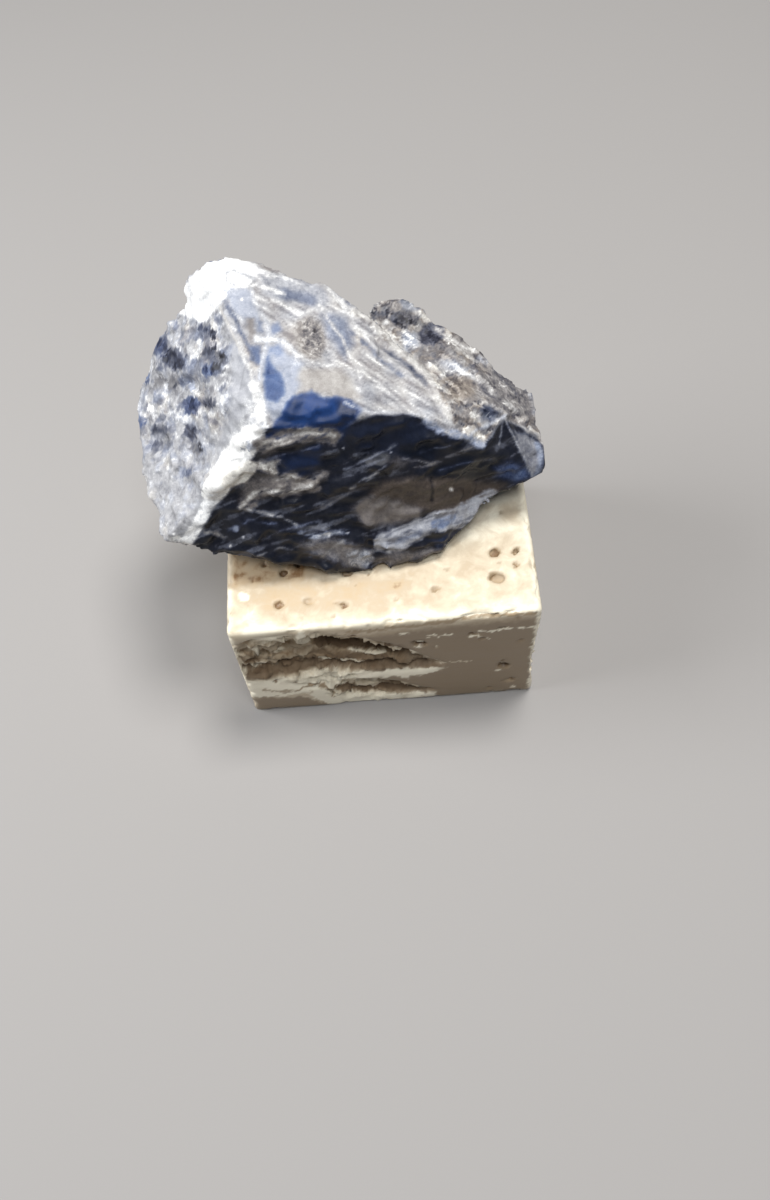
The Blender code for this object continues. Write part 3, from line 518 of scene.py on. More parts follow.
# Small lumps and pits of the block's front: place and reach in pixels, height, stain and darkness.
BLOCK_LUMPS = {
    "crumb": ((303, 637), (9.0, 5.0), 0.7, -0.15, 0.0),
    "crumb_left": ((253, 646), (7.0, 3.4), 0.5, 0.0, 0.0),
    "crumb_middle": ((278, 649), (8.0, 3.6), 0.4, 0.0, 0.0),
    "crumb_recess": ((350, 647), (5.0, 2.2), 0.5, 0.0, 0.0),
    "crumb_recess_right": ((371, 650), (6.0, 2.0), 0.5, 0.0, 0.0),
    "crumb_band": ((345, 661), (4.0, 1.8), 0.4, 0.0, 0.0),
    "crumb_slot": ((374, 685), (5.0, 2.4), 0.6, 0.0, 0.0),
    "crumb_shelf": ((320, 691), (8.0, 3.6), 0.4, -0.2, 0.0),
    "shelf_hole": ((277, 681), (2.2, 1.4), -0.3, 0.8, 0.8),
    "shelf_hole_right": ((293, 681), (2.4, 1.4), -0.3, 0.8, 0.8),
    "pit_large": ((420, 643), (6.5, 2.4), -0.8, 0.9, 0.85),
    # The lips below the pits are paler: painted light where they catch the light from above, as well as a
    # small rise.
    "pit_large_lip": ((418, 647), (6.0, 1.6), 0.3, -0.2, 0.0),
    "pit_small": ((438, 647), (1.8, 1.2), -0.2, 0.1, 0.0),
    "pit_scratch": ((472, 634), (3.5, 1.5), -0.4, 0.9, 0.7),
    "pit_scratch_right": ((482, 638), (3.5, 1.5), -0.4, 0.9, 0.7),
    "pit_high": ((501, 628), (4.5, 1.3), -0.6, 0.9, 0.8),
    # Painted light on the lip.
    "pit_high_lip": ((499, 631), (4.5, 1.0), 0.2, -0.2, 0.0),
    "pit_right": ((503, 665), (5.5, 3.8), -0.8, 0.9, 0.8),
    # Painted light on the lip.
    "pit_right_lip": ((499, 670), (4.5, 1.3), 0.3, -0.2, 0.0),
    "pit_low": ((509, 680), (4.0, 2.0), -0.3, 0.75, 0.4),
    # Painted light on the lip.
    "pit_low_lip": ((512, 687), (2.6, 1.2), 0.15, -0.1, 0.0),
    # A painted glint on the block's top.
    "painted_glint_speck": ((244, 597), (6.0, 5.0), 0.0, -0.3, 0.0),
}

# Ledges and grooves of the broken front: line and width in pixels, and height in millimetres.
BLOCK_LEDGES = {
    "groove_high": (((314, 637), (346, 640), (378, 646), (406, 650)), 5.0, -0.9),
    "groove_middle": (((246, 668), (281, 667), (307, 663), (329, 661), (356, 664), (400, 660), (432, 664)),
        6.0, -1.3),
    "groove_low": (((335, 685), (356, 686), (382, 686), (404, 687), (432, 688)), 4.0, -0.7),
    "ledge_high": (((262, 645), (285, 646), (312, 648), (340, 652), (372, 652)), 3.5, 0.4),
    "ledge_left": (((240, 655), (262, 655), (290, 656)), 3.0, 0.3),
    "ledge_shelf": (((250, 683), (281, 681), (307, 676), (329, 671), (369, 674), (404, 668)), 5.0, 0.6),
    "ledge_lip": (((252, 697), (281, 696), (307, 692), (338, 683), (369, 678), (404, 678)), 4.0, 0.3),
    "ledge_recess": (((318, 652), (350, 648), (384, 651), (412, 657)), 3.5, 0.7),
    "ledge_band": (((314, 660), (345, 660), (366, 661)), 2.6, 0.5),
    "ledge_low": (((320, 699), (352, 696), (404, 693), (434, 692)), 3.5, 0.35),
}


def camera_axes():
    """The camera's right, up and back, as the photograph was held."""
    flat = math.cos(CAMERA_ELEVATION)
    back = Vector((
        math.sin(CAMERA_AZIMUTH) * flat,
        -math.cos(CAMERA_AZIMUTH) * flat,
        math.sin(CAMERA_ELEVATION),
    ))
    level = (-back).cross(Vector((0.0, 0.0, 1.0))).normalized()
    upright = level.cross(-back)
    right = level * math.cos(CAMERA_ROLL) + upright * math.sin(CAMERA_ROLL)
    up = upright * math.cos(CAMERA_ROLL) - level * math.sin(CAMERA_ROLL)
    return right, up, back


def photo_places(points):
    """The photograph's pixels at which points, in millimetres, are seen."""
    right, up, back = (np.array(axis) for axis in camera_axes())
    away = points * MM - np.array(CAMERA_PLACE)
    depth = -(away @ back)
    across = PHOTO_WIDTH / 2 + PHOTO_FOCAL * (away @ right) / depth
    down = PHOTO_HEIGHT / 2 - PHOTO_FOCAL * (away @ up) / depth
    return stacked(across, down)


def towards_camera(points, normals):
    """How far each point faces the camera: 1 is square on, and below 0 is turned away."""
    way = np.array(CAMERA_PLACE) / MM - points
    way /= np.linalg.norm(way, axis=1, keepdims=True)
    return (way * normals).sum(axis=1)


def stacked(*columns):
    """Rows of coordinates from separate columns; a single number fills its whole column."""
    return np.stack(np.broadcast_arrays(*columns), axis=1)


def smooth_step(low, high, values):
    """0 below a low value, 1 above a high one, and a smooth rise between them."""
    share = np.clip((values - low) / (high - low), 0.0, 1.0)
    return share * share * (3.0 - 2.0 * share)


def smooth_fall(low, high, values):
    return 1.0 - smooth_step(low, high, values)


def mixed(old, new, share):
    return old + (new - old) * share


def lay(marks, share, *new):
    """Each of the marks, mixed with its new value by a share."""
    return [mixed(old, value, share) for old, value in zip(marks, new)]


def spread(points, size, seed, stretch=EVEN):
    """Points in units of a feature's size, moved on by a seed, as plain lists."""
    return (points / (size * np.array(stretch)) + seed).tolist()


def noise_field(points, size=1.0, seed=0.0, stretch=EVEN):
    """Smooth noise, about -1 to 1, with features of a size."""
    return np.array([noise.noise(place) for place in spread(points, size, seed, stretch)])


def cloud_field(points, size=1.0, seed=0.0, octaves=4, stretch=EVEN):
    """Noise of several sizes at once, about -1 to 1."""
    places = spread(points, size, seed, stretch)
    return np.array([noise.fractal(place, FRACTAL_FALL, FRACTAL_STEP, octaves) for place in places])


def drift(points, size, seeds=(3.3, 9.3)):
    """Two smooth noises side by side, to move places on the photograph."""
    return stacked(*(noise_field(points, size, seed) for seed in seeds))


def chip_field(points, size, seed, stretch):
    """Flat tilted chips of a size, with a step between neighbours, about -1 to 1."""
    heights = []
    for place in spread(points, size, seed, stretch):
        middle = noise.voronoi(place)[1][0]
        tilt = noise.cell_vector(middle * TILT_KEY) * 2.0 - Vector((1.0, 1.0, 1.0))
        heights.append(2.0 * tilt.dot(Vector(place) - middle))
    return np.array(heights)


def chips(points, layers, height=0.0):
    """Layers of chips, in millimetres, added up on a height."""
    for rise, size, seed, stretch in layers:
        height = height + rise * chip_field(points, size, seed, stretch)
    return height


def pit_field(points, size, share, seed):
    """Depth, 0 to 1, of round pits scattered over a share of cells of a size in millimetres."""
    depths = []
    for place in spread(points, size, seed):
        distances, middles = noise.voronoi(place)
        chosen = 0.5 + 0.5 * noise.cell(middles[0] * PIT_KEY) < share
        depths.append(max(1.0 - distances[0] * PIT_NARROWNESS, 0.0) if chosen else 0.0)
    return np.array(depths)


def crystal_field(points, size, seed):
    """For crystals of a size: a random number, 0 to 1, nearness to the border, and middle."""
    numbers, borders, centres = [], [], []
    for place in spread(points, size, seed):
        distances, middles = noise.voronoi(place)
        numbers.append(0.5 + 0.5 * noise.cell(middles[0] * CRYSTAL_KEY))
        borders.append(distances[1] - distances[0])
        centres.append(middles[0])
    nearness = smooth_fall(0.02, 0.22, np.array(borders))
    return np.array(numbers), nearness, (np.array(centres) - seed) * size


def distance_to_line(places, line):
    """Distance, in pixels, from each place to a line through several points."""
    best = np.full(len(places), np.inf)
    for start, end in zip(line, line[1:]):
        start = np.array(start, float)
        along = np.array(end, float) - start
        share = np.clip((places - start) @ along / max(along @ along, TINY), 0.0, 1.0)
        gap = places - start - share[:, None] * along
        best = np.minimum(best, np.hypot(gap[:, 0], gap[:, 1]))
    return best


def distance_to_place(places, place, reach=(1.0, 1.0)):
    """Distance from each place to one place, in units of a reach across and down."""
    return np.hypot((places[:, 0] - place[0]) / reach[0], (places[:, 1] - place[1]) / reach[1])


def depth_inside(places, outline):
    """Distance inside an outline, in pixels; outside it is below 0."""
    closed = tuple(outline) + (outline[0],)
    inside = np.zeros(len(places), bool)
    for (x0, y0), (x1, y1) in zip(closed, closed[1:]):
        if y0 == y1:
            continue
        crosses = (places[:, 1] < y0) != (places[:, 1] < y1)
        inside ^= crosses & (places[:, 0] < x0 + (places[:, 1] - y0) * (x1 - x0) / (y1 - y0))
    distance = distance_to_line(places, closed)
    return np.where(inside, distance, -distance)


def near(places, points, margin):
    """Which places lie within a margin of the box around some points, all in pixels."""
    low = np.min(points, axis=0) - margin
    high = np.max(points, axis=0) + margin
    return np.all((places > low) & (places < high), axis=1)


def placed(close, values):
    """Values at the close places, and 0 at all others."""
    share = np.zeros(len(close))
    share[close] = values
    return share


def evaluated_mesh(piece):
    graph = bpy.context.evaluated_depsgraph_get()
    return bpy.data.meshes.new_from_object(piece.evaluated_get(graph))


def fine_copy(node, name, cell, rounds):
    """A copy of a CAD node with small even faces and softened facets."""
    mesh = bmesh.new()
    mesh.from_mesh(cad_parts[node].data)
    bmesh.ops.remove_doubles(mesh, verts=mesh.verts, dist=WELD)
    data = bpy.data.meshes.new(name)
    mesh.to_mesh(data)
    mesh.free()
    piece = bpy.data.objects.new(name, data)
    bpy.context.scene.collection.objects.link(piece)
    even = piece.modifiers.new("even", "REMESH")
    even.mode = "VOXEL"
    even.voxel_size = cell
    fine = evaluated_mesh(piece)
    piece.modifiers.clear()
    mesh = bmesh.new()
    mesh.from_mesh(fine)
    for _ in range(rounds):
        bmesh.ops.smooth_vert(
            mesh, verts=mesh.verts, factor=0.5, use_axis_x=True, use_axis_y=True, use_axis_z=True,
        )
    mesh.to_mesh(data)
    mesh.free()
    bpy.data.meshes.remove(fine)
    data.update()
    return piece


def points_and_normals(data):
    """A mesh's points in millimetres, and its normals."""
    count = len(data.vertices)
    points = np.empty(count * 3, np.float32)
    normals = np.empty(count * 3, np.float32)
    data.vertices.foreach_get("co", points)
    data.vertex_normals.foreach_get("vector", normals)
    return points.reshape(-1, 3).astype(float) / MM, normals.reshape(-1, 3).astype(float)


def set_points(data, points, box):
    """Moves a mesh's points to places in millimetres, kept inside a box in metres."""
    kept = np.clip(points * MM, np.array(box[0]), np.array(box[1]))
    data.vertices.foreach_set("co", kept.astype(np.float32).ravel())
    data.update()


def finish_mesh(data, layers, material):
    """Gives a mesh its layers of values from 0 to 1, its material and smooth shading."""
    for name, values in layers.items():
        layer = data.attributes.new(name, "FLOAT", "POINT")
        layer.data.foreach_set("value", np.clip(values, 0.0, 1.0).astype(np.float32))
    data.materials.clear()
    data.materials.append(material)
    data.shade_smooth()


def neighbour_mean(data, values, rounds):
    """Values smoothed over the mesh's edges."""
    edges = np.empty(len(data.edges) * 2, np.int32)
    data.edges.foreach_get("vertices", edges)
    edges = edges.reshape(-1, 2)
    count = np.maximum(np.bincount(edges.ravel(), minlength=len(values)), 1)
    for _ in range(rounds):
        total = np.bincount(edges[:, 0], values[edges[:, 1]], len(values))
        total += np.bincount(edges[:, 1], values[edges[:, 0]], len(values))
        values = 0.5 * values + 0.5 * total / count
    return values


def along_crest(places):
    """How far pixels lie along the stone's crest, and across it."""
    return places @ np.array(CREST_ALONG), places @ np.array(CREST_ACROSS)


def face_shares(places, points, seen):
    """How much each place belongs to the stone's top, front and lobe, with an uneven edge."""
    uneven = 2.0 * noise_field(points, 2.2, 14.0)
    depths = (depth_inside(places, face) for face in (TOP_FACE, FRONT_FACE, LOBE_FACE))
    return [smooth_step(-2.0, 2.0, depth + uneven) * seen for depth in depths]


def stone_relief(data, points, normals, chip_height):
    """Height, in millimetres, of the broken surface over the plain stone."""
    places = photo_places(points)
    seen = smooth_step(-0.1, 0.15, towards_camera(points, normals))
    top, front, lobe = face_shares(places, points, seen)
    along, across = along_crest(places)
    rough = chips(points, ROUGH_CHIPS) * mixed(1.0, 0.75, seen)
    shards = chips(stacked(along, across, 0.0) / PIXELS_PER_MM, LOBE_SHARDS)
    coarse = chips(points, LOBE_CHIPS, shards)
    flakes = chips(points, FRONT_CHIPS, neighbour_mean(data, chips(points, FRONT_FLAKES), 6))
    swell = 0.10 * noise_field(stacked(along / 55.0, across / 7.0, 0.0))
    polished = chips(points, TOP_CHIPS, swell)
    height = mixed(mixed(mixed(rough, coarse, lobe), flakes, front), polished, top)
    window = depth_inside(places, PATCHES["blue_window"][0])
    height *= chip_height * (1.0 - 0.75 * seen * smooth_step(-4.0, 3.0, window))
    wander = 1.5 * drift(points, 1.6)
    for line, width, rise in RELIEF_LINES.values():
        close = near(places, line, RELIEF_MARGIN)
        gap = distance_to_line(places[close] + wander[close], line)
        height[close] += rise * seen[close] * smooth_fall(0.1, 1.0, gap / width)
    return height


def hidden_marks(points):
    """Tone, blue, warm and grain of the sides that the photograph doesn't show."""
    broad = cloud_field(points, 11.0, 2.5)
    middle = cloud_field(points, 3.6, 7.5)
    fine = cloud_field(points, 1.1, 4.5)
    tone = 0.72 + 0.20 * broad + 0.22 * middle + 0.10 * fine
    sodalite = smooth_step(0.08, 0.34, cloud_field(points, 13.0, 21.0) + 0.12 * middle)
    tone = mixed(tone, 0.31 + 0.14 * middle, sodalite)
    blue = mixed(0.10, 0.7, sodalite)
    warm = 0.25 * smooth_step(0.1, 0.5, cloud_field(points, 9.0, 33.0)) * (1.0 - sodalite)
    thread = np.abs(noise_field(points, 7.0, 41.0, (1.0, 1.0, 1.6)) + 0.25 * middle)
    vein = smooth_fall(0.012, 0.05, thread) * smooth_step(-0.2, 0.2, broad + 0.2)
    tone = mixed(tone, 0.96, vein)
    blue = mixed(blue, 0.03, vein)
    grain = mixed(0.85, 0.25, np.maximum(sodalite, vein))
    return [tone, blue, warm, grain]


def marking_fields(data, points, normals):
    """The places, shares, noise and crystals that the seen side's markings are made from."""
    fields = SimpleNamespace()
    fields.places = places = photo_places(points)
    fields.seen = smooth_step(-0.25, 0.05, neighbour_mean(data, towards_camera(points, normals), 3))
    fields.top, fields.front, fields.lobe = face_shares(places, points, fields.seen)
    fields.broad = cloud_field(points, 5.0, 12.5)
    fields.middle = middle = cloud_field(points, 2.0, 17.5)
    fields.fine = fine = cloud_field(points, 0.8, 14.5)
    fields.wander = 3.0 * drift(points, 2.4) + 1.6 * drift(points, 0.8, (6.3, 1.3))
    bent = stacked(places[:, 0], places[:, 1], 0.5 * (places[:, 0] + places[:, 1])) / PIXELS_PER_MM
    bent += 0.5 * stacked(middle, fine, -middle)
    crystal, border, _ = crystal_field(bent, 1.7, 3.0)
    small_crystal, small_border, centre = crystal_field(bent, 0.9, 13.0)
    fields.crystal, fields.small_crystal, fields.small_border = crystal, small_crystal, small_border
    fields.crystal_places = mixed(places, centre[:, :2] * PIXELS_PER_MM, 0.8)
    fields.seams = np.maximum(border, 0.6 * small_border)
    fields.along, fields.across = along_crest(places)
    fields.rising = places @ np.array(CLEAVAGE)
    shard, shard_border, _ = crystal_field(
        stacked(fields.along / 15.0, fields.across / 4.5, 0.3 * middle + 9.0), 1.0, 0.0)
    crystals = 0.72 * (crystal - 0.5) + 0.28 * (small_crystal - 0.5)
    # Shard borders are pale veins on cells with high numbers, and painted shade in the cracks on cells with
    # low numbers.
    fields.shards = 0.30 * (shard - 0.5) + 0.24 * crystals + 0.3 * shard_border * (shard - 0.6)
    return fields


def left_tone(fields):
    """Tone of the speckled left face, which is calmer towards its foot, and where it is dark."""
    down = smooth_step(390.0, 520.0, fields.places[:, 1])
    small = fields.small_crystal
    dark = smooth_step(0.60, 0.68, fields.crystal) * (1.0 - down)
    tone = mixed(0.775, 0.78, down) - 0.13 * dark + mixed(0.22, 0.08, down) * (small - 0.5)
    tone += mixed(0.08, 0.04, down) * fields.seams + 0.08 * fields.broad + 0.06 * fields.middle
    tone -= 0.24 * smooth_step(0.72, 0.78, small) * (1.0 - down) - 0.04 * (1.0 - down)
    return tone, dark


def face_marks(marks, fields):
    """The broad tones of the faces that are seen: left, top, lobe and front."""
    broad, middle = fields.broad, fields.middle
    tone, dark = left_tone(fields)
    blue = 0.02 + 0.10 * dark + 0.10 * smooth_step(0.0, 0.4, middle)
    marks = lay(marks, fields.seen, tone, blue, 0.12 + 0.3 * smooth_step(0.1, 0.5, broad), 0.22)
    streaks = cloud_field(stacked(fields.along / 26.0, fields.across / 3.2, 3.0))
    marks = lay(marks, fields.top, 0.78 + 0.24 * streaks + 0.05 * middle, 0.06, 0.32 + 0.4 * broad, 0.12)
    warm = 0.4 + 0.5 * (fields.small_crystal - 0.4)
    marks = lay(marks, fields.lobe, 0.68 + fields.shards + 0.08 * broad, 0.02, warm, 0.3)
    bands = stacked(fields.rising[:, 0] / 55.0, fields.rising[:, 1] / 8.0, fields.fine * 0.15 + 6.0)
    veil = smooth_step(0.0, 0.5, cloud_field(bands, octaves=3) + 0.25 * middle)
    tone = 0.11 + 0.36 * veil * (0.8 + 0.3 * fields.fine) + 0.04 * middle
    return lay(marks, fields.front, tone, 0.03, 0.08, 0.18)


def patch_marks(marks, fields):
    """The marks with the named patches of mineral laid on them."""
    grainy_swing = fields.small_crystal - 0.5 + 0.3 * fields.small_border
    for outline, tone, blue, warm, grain, soft in PATCHES.values():
        close = near(fields.places, outline, PATCH_MARGIN)
        depth = depth_inside(fields.places[close] + fields.wander[close], outline)
        share = placed(close, smooth_step(-soft, soft, depth) * fields.seen[close])
        lively = 0.05 * fields.middle * (1.0 + grain) + 0.03 * fields.fine + 0.8 * fields.shards * fields.lobe
        lively += 0.3 * (grain > 0.5) * (1.0 - fields.lobe) * grainy_swing
        marks = lay(marks, share, tone + lively, blue, warm, grain)
    return marks


def vein_marks(marks, fields):
    """The marks with the named veins, ridges and streaks laid on them."""
    brushed = stacked(fields.rising[:, 0] / 18.0, fields.rising[:, 1] / 2.6, 11.0)
    torn = mixed(fields.fine, cloud_field(brushed, octaves=3), fields.front)
    for line, width, tone, blue, warm, ragged in VEINS.values():
        close = near(fields.places, line, width + VEIN_MARGIN)
        middle = fields.middle[close]
        gap = distance_to_line(fields.places[close] + (0.35 + 0.55 * ragged) * fields.wander[close], line)
        half = 0.5 * width * (1.0 + 0.6 * ragged * middle)
        soft = 1.0 + 1.6 * ragged
        share = smooth_fall(-soft, soft, gap - half) * fields.seen[close]
        share *= np.clip(1.0 + ragged * (1.2 * torn[close] + 0.8 * middle - 0.15), 0.0, 1.0)
        marks = lay(marks, placed(close, share), tone + 0.04 * fields.fine, blue, warm, 0.12 + 0.22 * ragged)
    return marks


def fleck_marks(marks, fields):
    """The marks with the single crystals laid on them."""
    cracks = 0.4 * (fields.small_crystal - 0.5) + 0.14 * fields.seams
    for place, size, tone, blue in FLECKS.values():
        large = float(size > LARGE_FLECK)
        bent = mixed(fields.places, fields.crystal_places, large) + mixed(0.25, 0.5, large) * fields.wander
        share = smooth_fall(0.3 * size, 0.7 * size, distance_to_place(bent, place)) * fields.seen
        marks = lay(marks, share, tone + large * cracks, blue, 0.15, 0.1)
    return marks


def stone_markings(data, points, normals):
    """Tone, blue, warm and grain at each point, with the named markings on the side that is seen."""
    fields = marking_fields(data, points, normals)
    marks = patch_marks(face_marks(hidden_marks(points), fields), fields)
    fields.wander = fields.wander * mixed(1.0, 0.6, fields.front)[:, None]
    marks = fleck_marks(vein_marks(marks, fields), fields)
    return dict(zip(("tone", "blue", "warm", "grain"), marks))


def wall_gaps(points):
    """Distance, in millimetres, from each point to the block's nearer wall along each axis."""
    return np.minimum(points - np.array(BLOCK_LOW), np.array(BLOCK_HIGH) - points)


def block_shares(points, normals):
    """How much each point lies on the honed top, on a sawn face, and on broken stone."""
    near_top = smooth_step(BLOCK_HIGH.z - 0.35, BLOCK_HIGH.z - 0.1, points[:, 2])
    top = near_top * smooth_step(*SQUARE_ON, normals[:, 2])
    sawn = np.zeros(len(points))
    for axis, level, sign in (
        (0, BLOCK_HIGH.x, 1.0), (0, BLOCK_LOW.x, -1.0), (1, BLOCK_HIGH.y, 1.0), (1, BLOCK_LOW.y, -1.0),
    ):
        gap = np.abs(points[:, axis] - level)
        on_face = smooth_fall(0.1, 0.35, gap) * smooth_step(*SQUARE_ON, sign * normals[:, axis])
        sawn = np.maximum(sawn, on_face)
    broken = smooth_step(0.25, 0.9, wall_gaps(points).min(axis=1))
    return top, sawn, broken


def oval_share(places, middle, reach):
    """How far inside an oval each place is, from 0 outside its rim to 1 in its middle."""
    return smooth_fall(0.5, 1.1, distance_to_place(places, middle, reach))


def block_wander(points):
    """How far the block's named marks stray from their places, in pixels, so that they look torn."""
    return stacked(
        3.0 * noise_field(points, 1.3, 31.0) + 2.4 * noise_field(points, 0.55, 61.0),
        1.8 * noise_field(points, 1.3, 45.0) + 1.6 * noise_field(points, 0.55, 75.0),
    )


def pore_shares(points, from_side):
    """How far inside each pore of the top each point is, with the pore's depth and darkness."""
    mouths = points.copy()
    mouths[:, 2] = BLOCK_HIGH.z
    torn = photo_places(mouths) + PORE_RAGGEDNESS * block_wander(points + 40.0)
    for middle, reach, depth, dark in PORES.values():
        share = oval_share(torn, middle, reach) * (points[:, 2] > BLOCK_HIGH.z - PORE_REACH)
        yield share * (from_side > PORE_MARGIN), depth, dark


def block_relief(points, normals, roughness):
    """Height, in millimetres, of the block's surface over the plain block, and how pitted it is."""
    top, sawn, broken = block_shares(points, normals)
    rough = chips(points, BLOCK_CHIPS) + 0.12 * cloud_field(points, 0.7, 1.6, 2)
    height = roughness * broken * (rough - 0.5 * pit_field(points, 2.4, 0.3, 6.5))
    honed_pits = HONED_PIT * pit_field(points, 1.2, 0.04, 3.5)
    honed_pits *= smooth_step(-0.1, 0.25, cloud_field(points, 9.0, 15.0))
    saw_lines = 0.02 * noise_field(points, 1.0, 2.0, (12.0, 12.0, 0.35))
    sawn_pits = SAWN_PIT * pit_field(points, 1.7, 0.07, 7.5)
    sawn_pits *= smooth_step(0.0, 0.3, cloud_field(points, 8.0, 5.0))
    height -= top * honed_pits + sawn * (sawn_pits + saw_lines)
    pitted = top * honed_pits / HONED_PIT + sawn * sawn_pits / SAWN_PIT
    seen = smooth_step(-0.1, 0.1, towards_camera(points, normals))
    places = photo_places(points) + block_wander(points)
    gaps = wall_gaps(points)
    from_side = gaps[:, :2].min(axis=1)
    for share, depth, dark in pore_shares(points, from_side):
        height -= depth * share
        pitted = np.maximum(pitted, dark * share)
    for line, width, rise in BLOCK_LEDGES.values():
        height += rise * seen * broken * smooth_fall(0.1, 1.0, distance_to_line(places, line) / width)
    for middle, reach, rise, _, _ in BLOCK_LUMPS.values():
        height += rise * seen * oval_share(places, middle, reach)
    below_top = BLOCK_HIGH.z - points[:, 2]
    in_pore = smooth_step(0.15, 0.8, below_top) * (below_top < 1.6) * (from_side > 1.6)
    pitted = np.clip(np.maximum(pitted, 0.35 * in_pore), 0.0, 1.0)
    from_edge = np.sort(gaps, axis=1)[:, 1]
    chipped = smooth_step(0.1, 0.5, cloud_field(points, 2.2, 85.0, 3))
    height -= (0.1 + 0.45 * chipped) * smooth_fall(0.3, 1.6, from_edge)
    return height, pitted, top, sawn, broken


def block_stain_and_painted_light(points, normals, pitted, top, sawn):
    """Where iron has browned the travertine and where it is dark, with painted shade and painted light laid
    on some patches, lines and lumps.
    """
    bands = cloud_field(points, 3.2, 27.0, 4, (5.0, 5.0, 0.7))
    stain = 0.24 + 0.25 * bands * (1.0 - 0.7 * top) + 0.25 * cloud_field(points, 9.0, 37.0)
    gaps = np.sort(wall_gaps(points), axis=1)
    # Sawn faces are a little browner, and broken stone is browner the deeper it lies from the walls: partly
    # iron stain, partly painted shade on the sawn faces and in the hollows.
    stain += 0.16 * sawn + 0.32 * smooth_step(1.6, 4.5, gaps[:, 0])
    places = photo_places(points)
    for place, size, share in STAINS.values():
        stain += share * top * smooth_fall(0.2 * size, size, distance_to_place(places, place))
    seen = smooth_step(-0.05, 0.1, towards_camera(points, normals))
    places = places + block_wander(points)
    lively = (0.12 * bands + 0.10 * cloud_field(points, 1.2, 57.0, 3)) * (1.0 - 0.8 * sawn)
    marks = [stain, pitted]
    for outline, new_stain_and_light, dark, soft in BLOCK_PATCHES.values():
        share = smooth_step(-soft, soft, depth_inside(places, outline))
        marks = lay(marks, share * seen, new_stain_and_light + lively, dark)
    marks[0] = marks[0] - 0.3 * smooth_fall(0.4, 1.6, gaps[:, 1])
    for line, width, new_stain_and_light, dark in BLOCK_LINES.values():
        share = smooth_fall(0.25 * width, 0.75 * width, distance_to_line(places, line))
        marks = lay(marks, share * seen, new_stain_and_light + lively, dark)
    for middle, reach, _, new_stain_and_light, dark in BLOCK_LUMPS.values():
        marks = lay(marks, oval_share(places, middle, reach) * seen, new_stain_and_light + lively, dark)
    return mixed(marks[0], 1.0, pitted), np.maximum(marks[1], PIT_DARKNESS * pitted)


def add_node(tree, kind, **settings):
    node = tree.nodes.new(kind)
    for name, value in settings.items():
        setattr(node, name, value)
    return node


def put(tree, socket, value):
    """Links a socket into another, or sets its number."""
    if isinstance(value, bpy.types.NodeSocket):
        tree.links.new(value, socket)
    else:
        socket.default_value = value


def feed(tree, node, values):
    """Puts values into a node's inputs, by their names."""
    for name, value in values.items():
        put(tree, node.inputs[name], value)
    return node.outputs


def calc(tree, operation, *values, clamp=False):
    """The result of a Math node."""
    node = add_node(tree, "ShaderNodeMath", operation=operation, use_clamp=clamp)
    for socket, value in zip(node.inputs, values):
        put(tree, socket, value)
    return node.outputs[0]


def plus(tree, first, second, clamp=False):
    return calc(tree, "ADD", first, second, clamp=clamp)


def times(tree, first, second):
    return calc(tree, "MULTIPLY", first, second)


def swing(tree, value, middle, strength):
    """How far a value swings about its middle, times a strength."""
    return times(tree, calc(tree, "SUBTRACT", value, middle), strength)


def blend_colours(tree, share, first, second):
    node = add_node(tree, "ShaderNodeMix", data_type="RGBA", blend_type="MIX")
    return feed(tree, node, {"Factor": share, "A": first, "B": second})["Result"]


def layer_value(tree, name):
    return add_node(tree, "ShaderNodeAttribute", attribute_name=name).outputs["Fac"]


def millimetres(tree, stretch=EVEN):
    """Object coordinates in millimetres."""
    place = add_node(tree, "ShaderNodeTexCoord").outputs["Object"]
    scale = [1.0 / (MM * share) for share in stretch]
    return feed(tree, add_node(tree, "ShaderNodeMapping"), {"Scale": scale, "Vector": place})["Vector"]


def noise_texture(tree, place, size, detail, roughness=0.6, distortion=0.0):
    """Noise whose features are about a size in millimetres."""
    return feed(tree, add_node(tree, "ShaderNodeTexNoise"), {
        "Vector": place, "Scale": 1.0 / size, "Detail": detail, "Roughness": roughness,
        "Distortion": distortion,
    })["Fac"]


def cell_texture(tree, place, size):
    """Voronoi cells of a size in millimetres: their distance, and a random number for each."""
    node = add_node(tree, "ShaderNodeTexVoronoi", feature="F1")
    cells = feed(tree, node, {"Vector": place, "Scale": 1.0 / size})
    split = feed(tree, add_node(tree, "ShaderNodeSeparateColor"), {"Color": cells["Color"]})
    return cells["Distance"], split[0]


def solid(colour):
    return (*tuple(colour)[:3], 1.0)


def ramp(tree, share, settings, stops):
    """A colour ramp from pairs of place and the name of a colour in the settings."""
    node = add_node(tree, "ShaderNodeValToRGB")
    points = node.color_ramp.elements
    places = [place for place, _ in stops]
    colours = [solid(getattr(settings, name + "_colour")) for _, name in stops]
    points[0].position, points[0].color = places[0], colours[0]
    points[1].position, points[1].color = places[-1], colours[-1]
    for place, colour in zip(places[1:-1], colours[1:-1]):
        points.new(place).color = colour
    return feed(tree, node, {"Fac": share})["Color"]


def grey_range(tree, value, old, new):
    """A value moved from one range to another."""
    return feed(tree, add_node(tree, "ShaderNodeMapRange", clamp=True), {
        "Value": value, "From Min": old[0], "From Max": old[1], "To Min": new[0], "To Max": new[1],
    })["Result"]


def new_surface(name):
    """A material with an empty Principled surface."""
    material = bpy.data.materials.new(name)
    material.use_nodes = True
    tree = material.node_tree
    return material, tree, tree.nodes["Principled BSDF"]


def add_bump(tree, shader, height, distance, strength):
    bump = feed(tree, add_node(tree, "ShaderNodeBump"), {
        "Strength": strength, "Distance": distance, "Height": height,
    })
    put(tree, shader.inputs["Normal"], bump["Normal"])


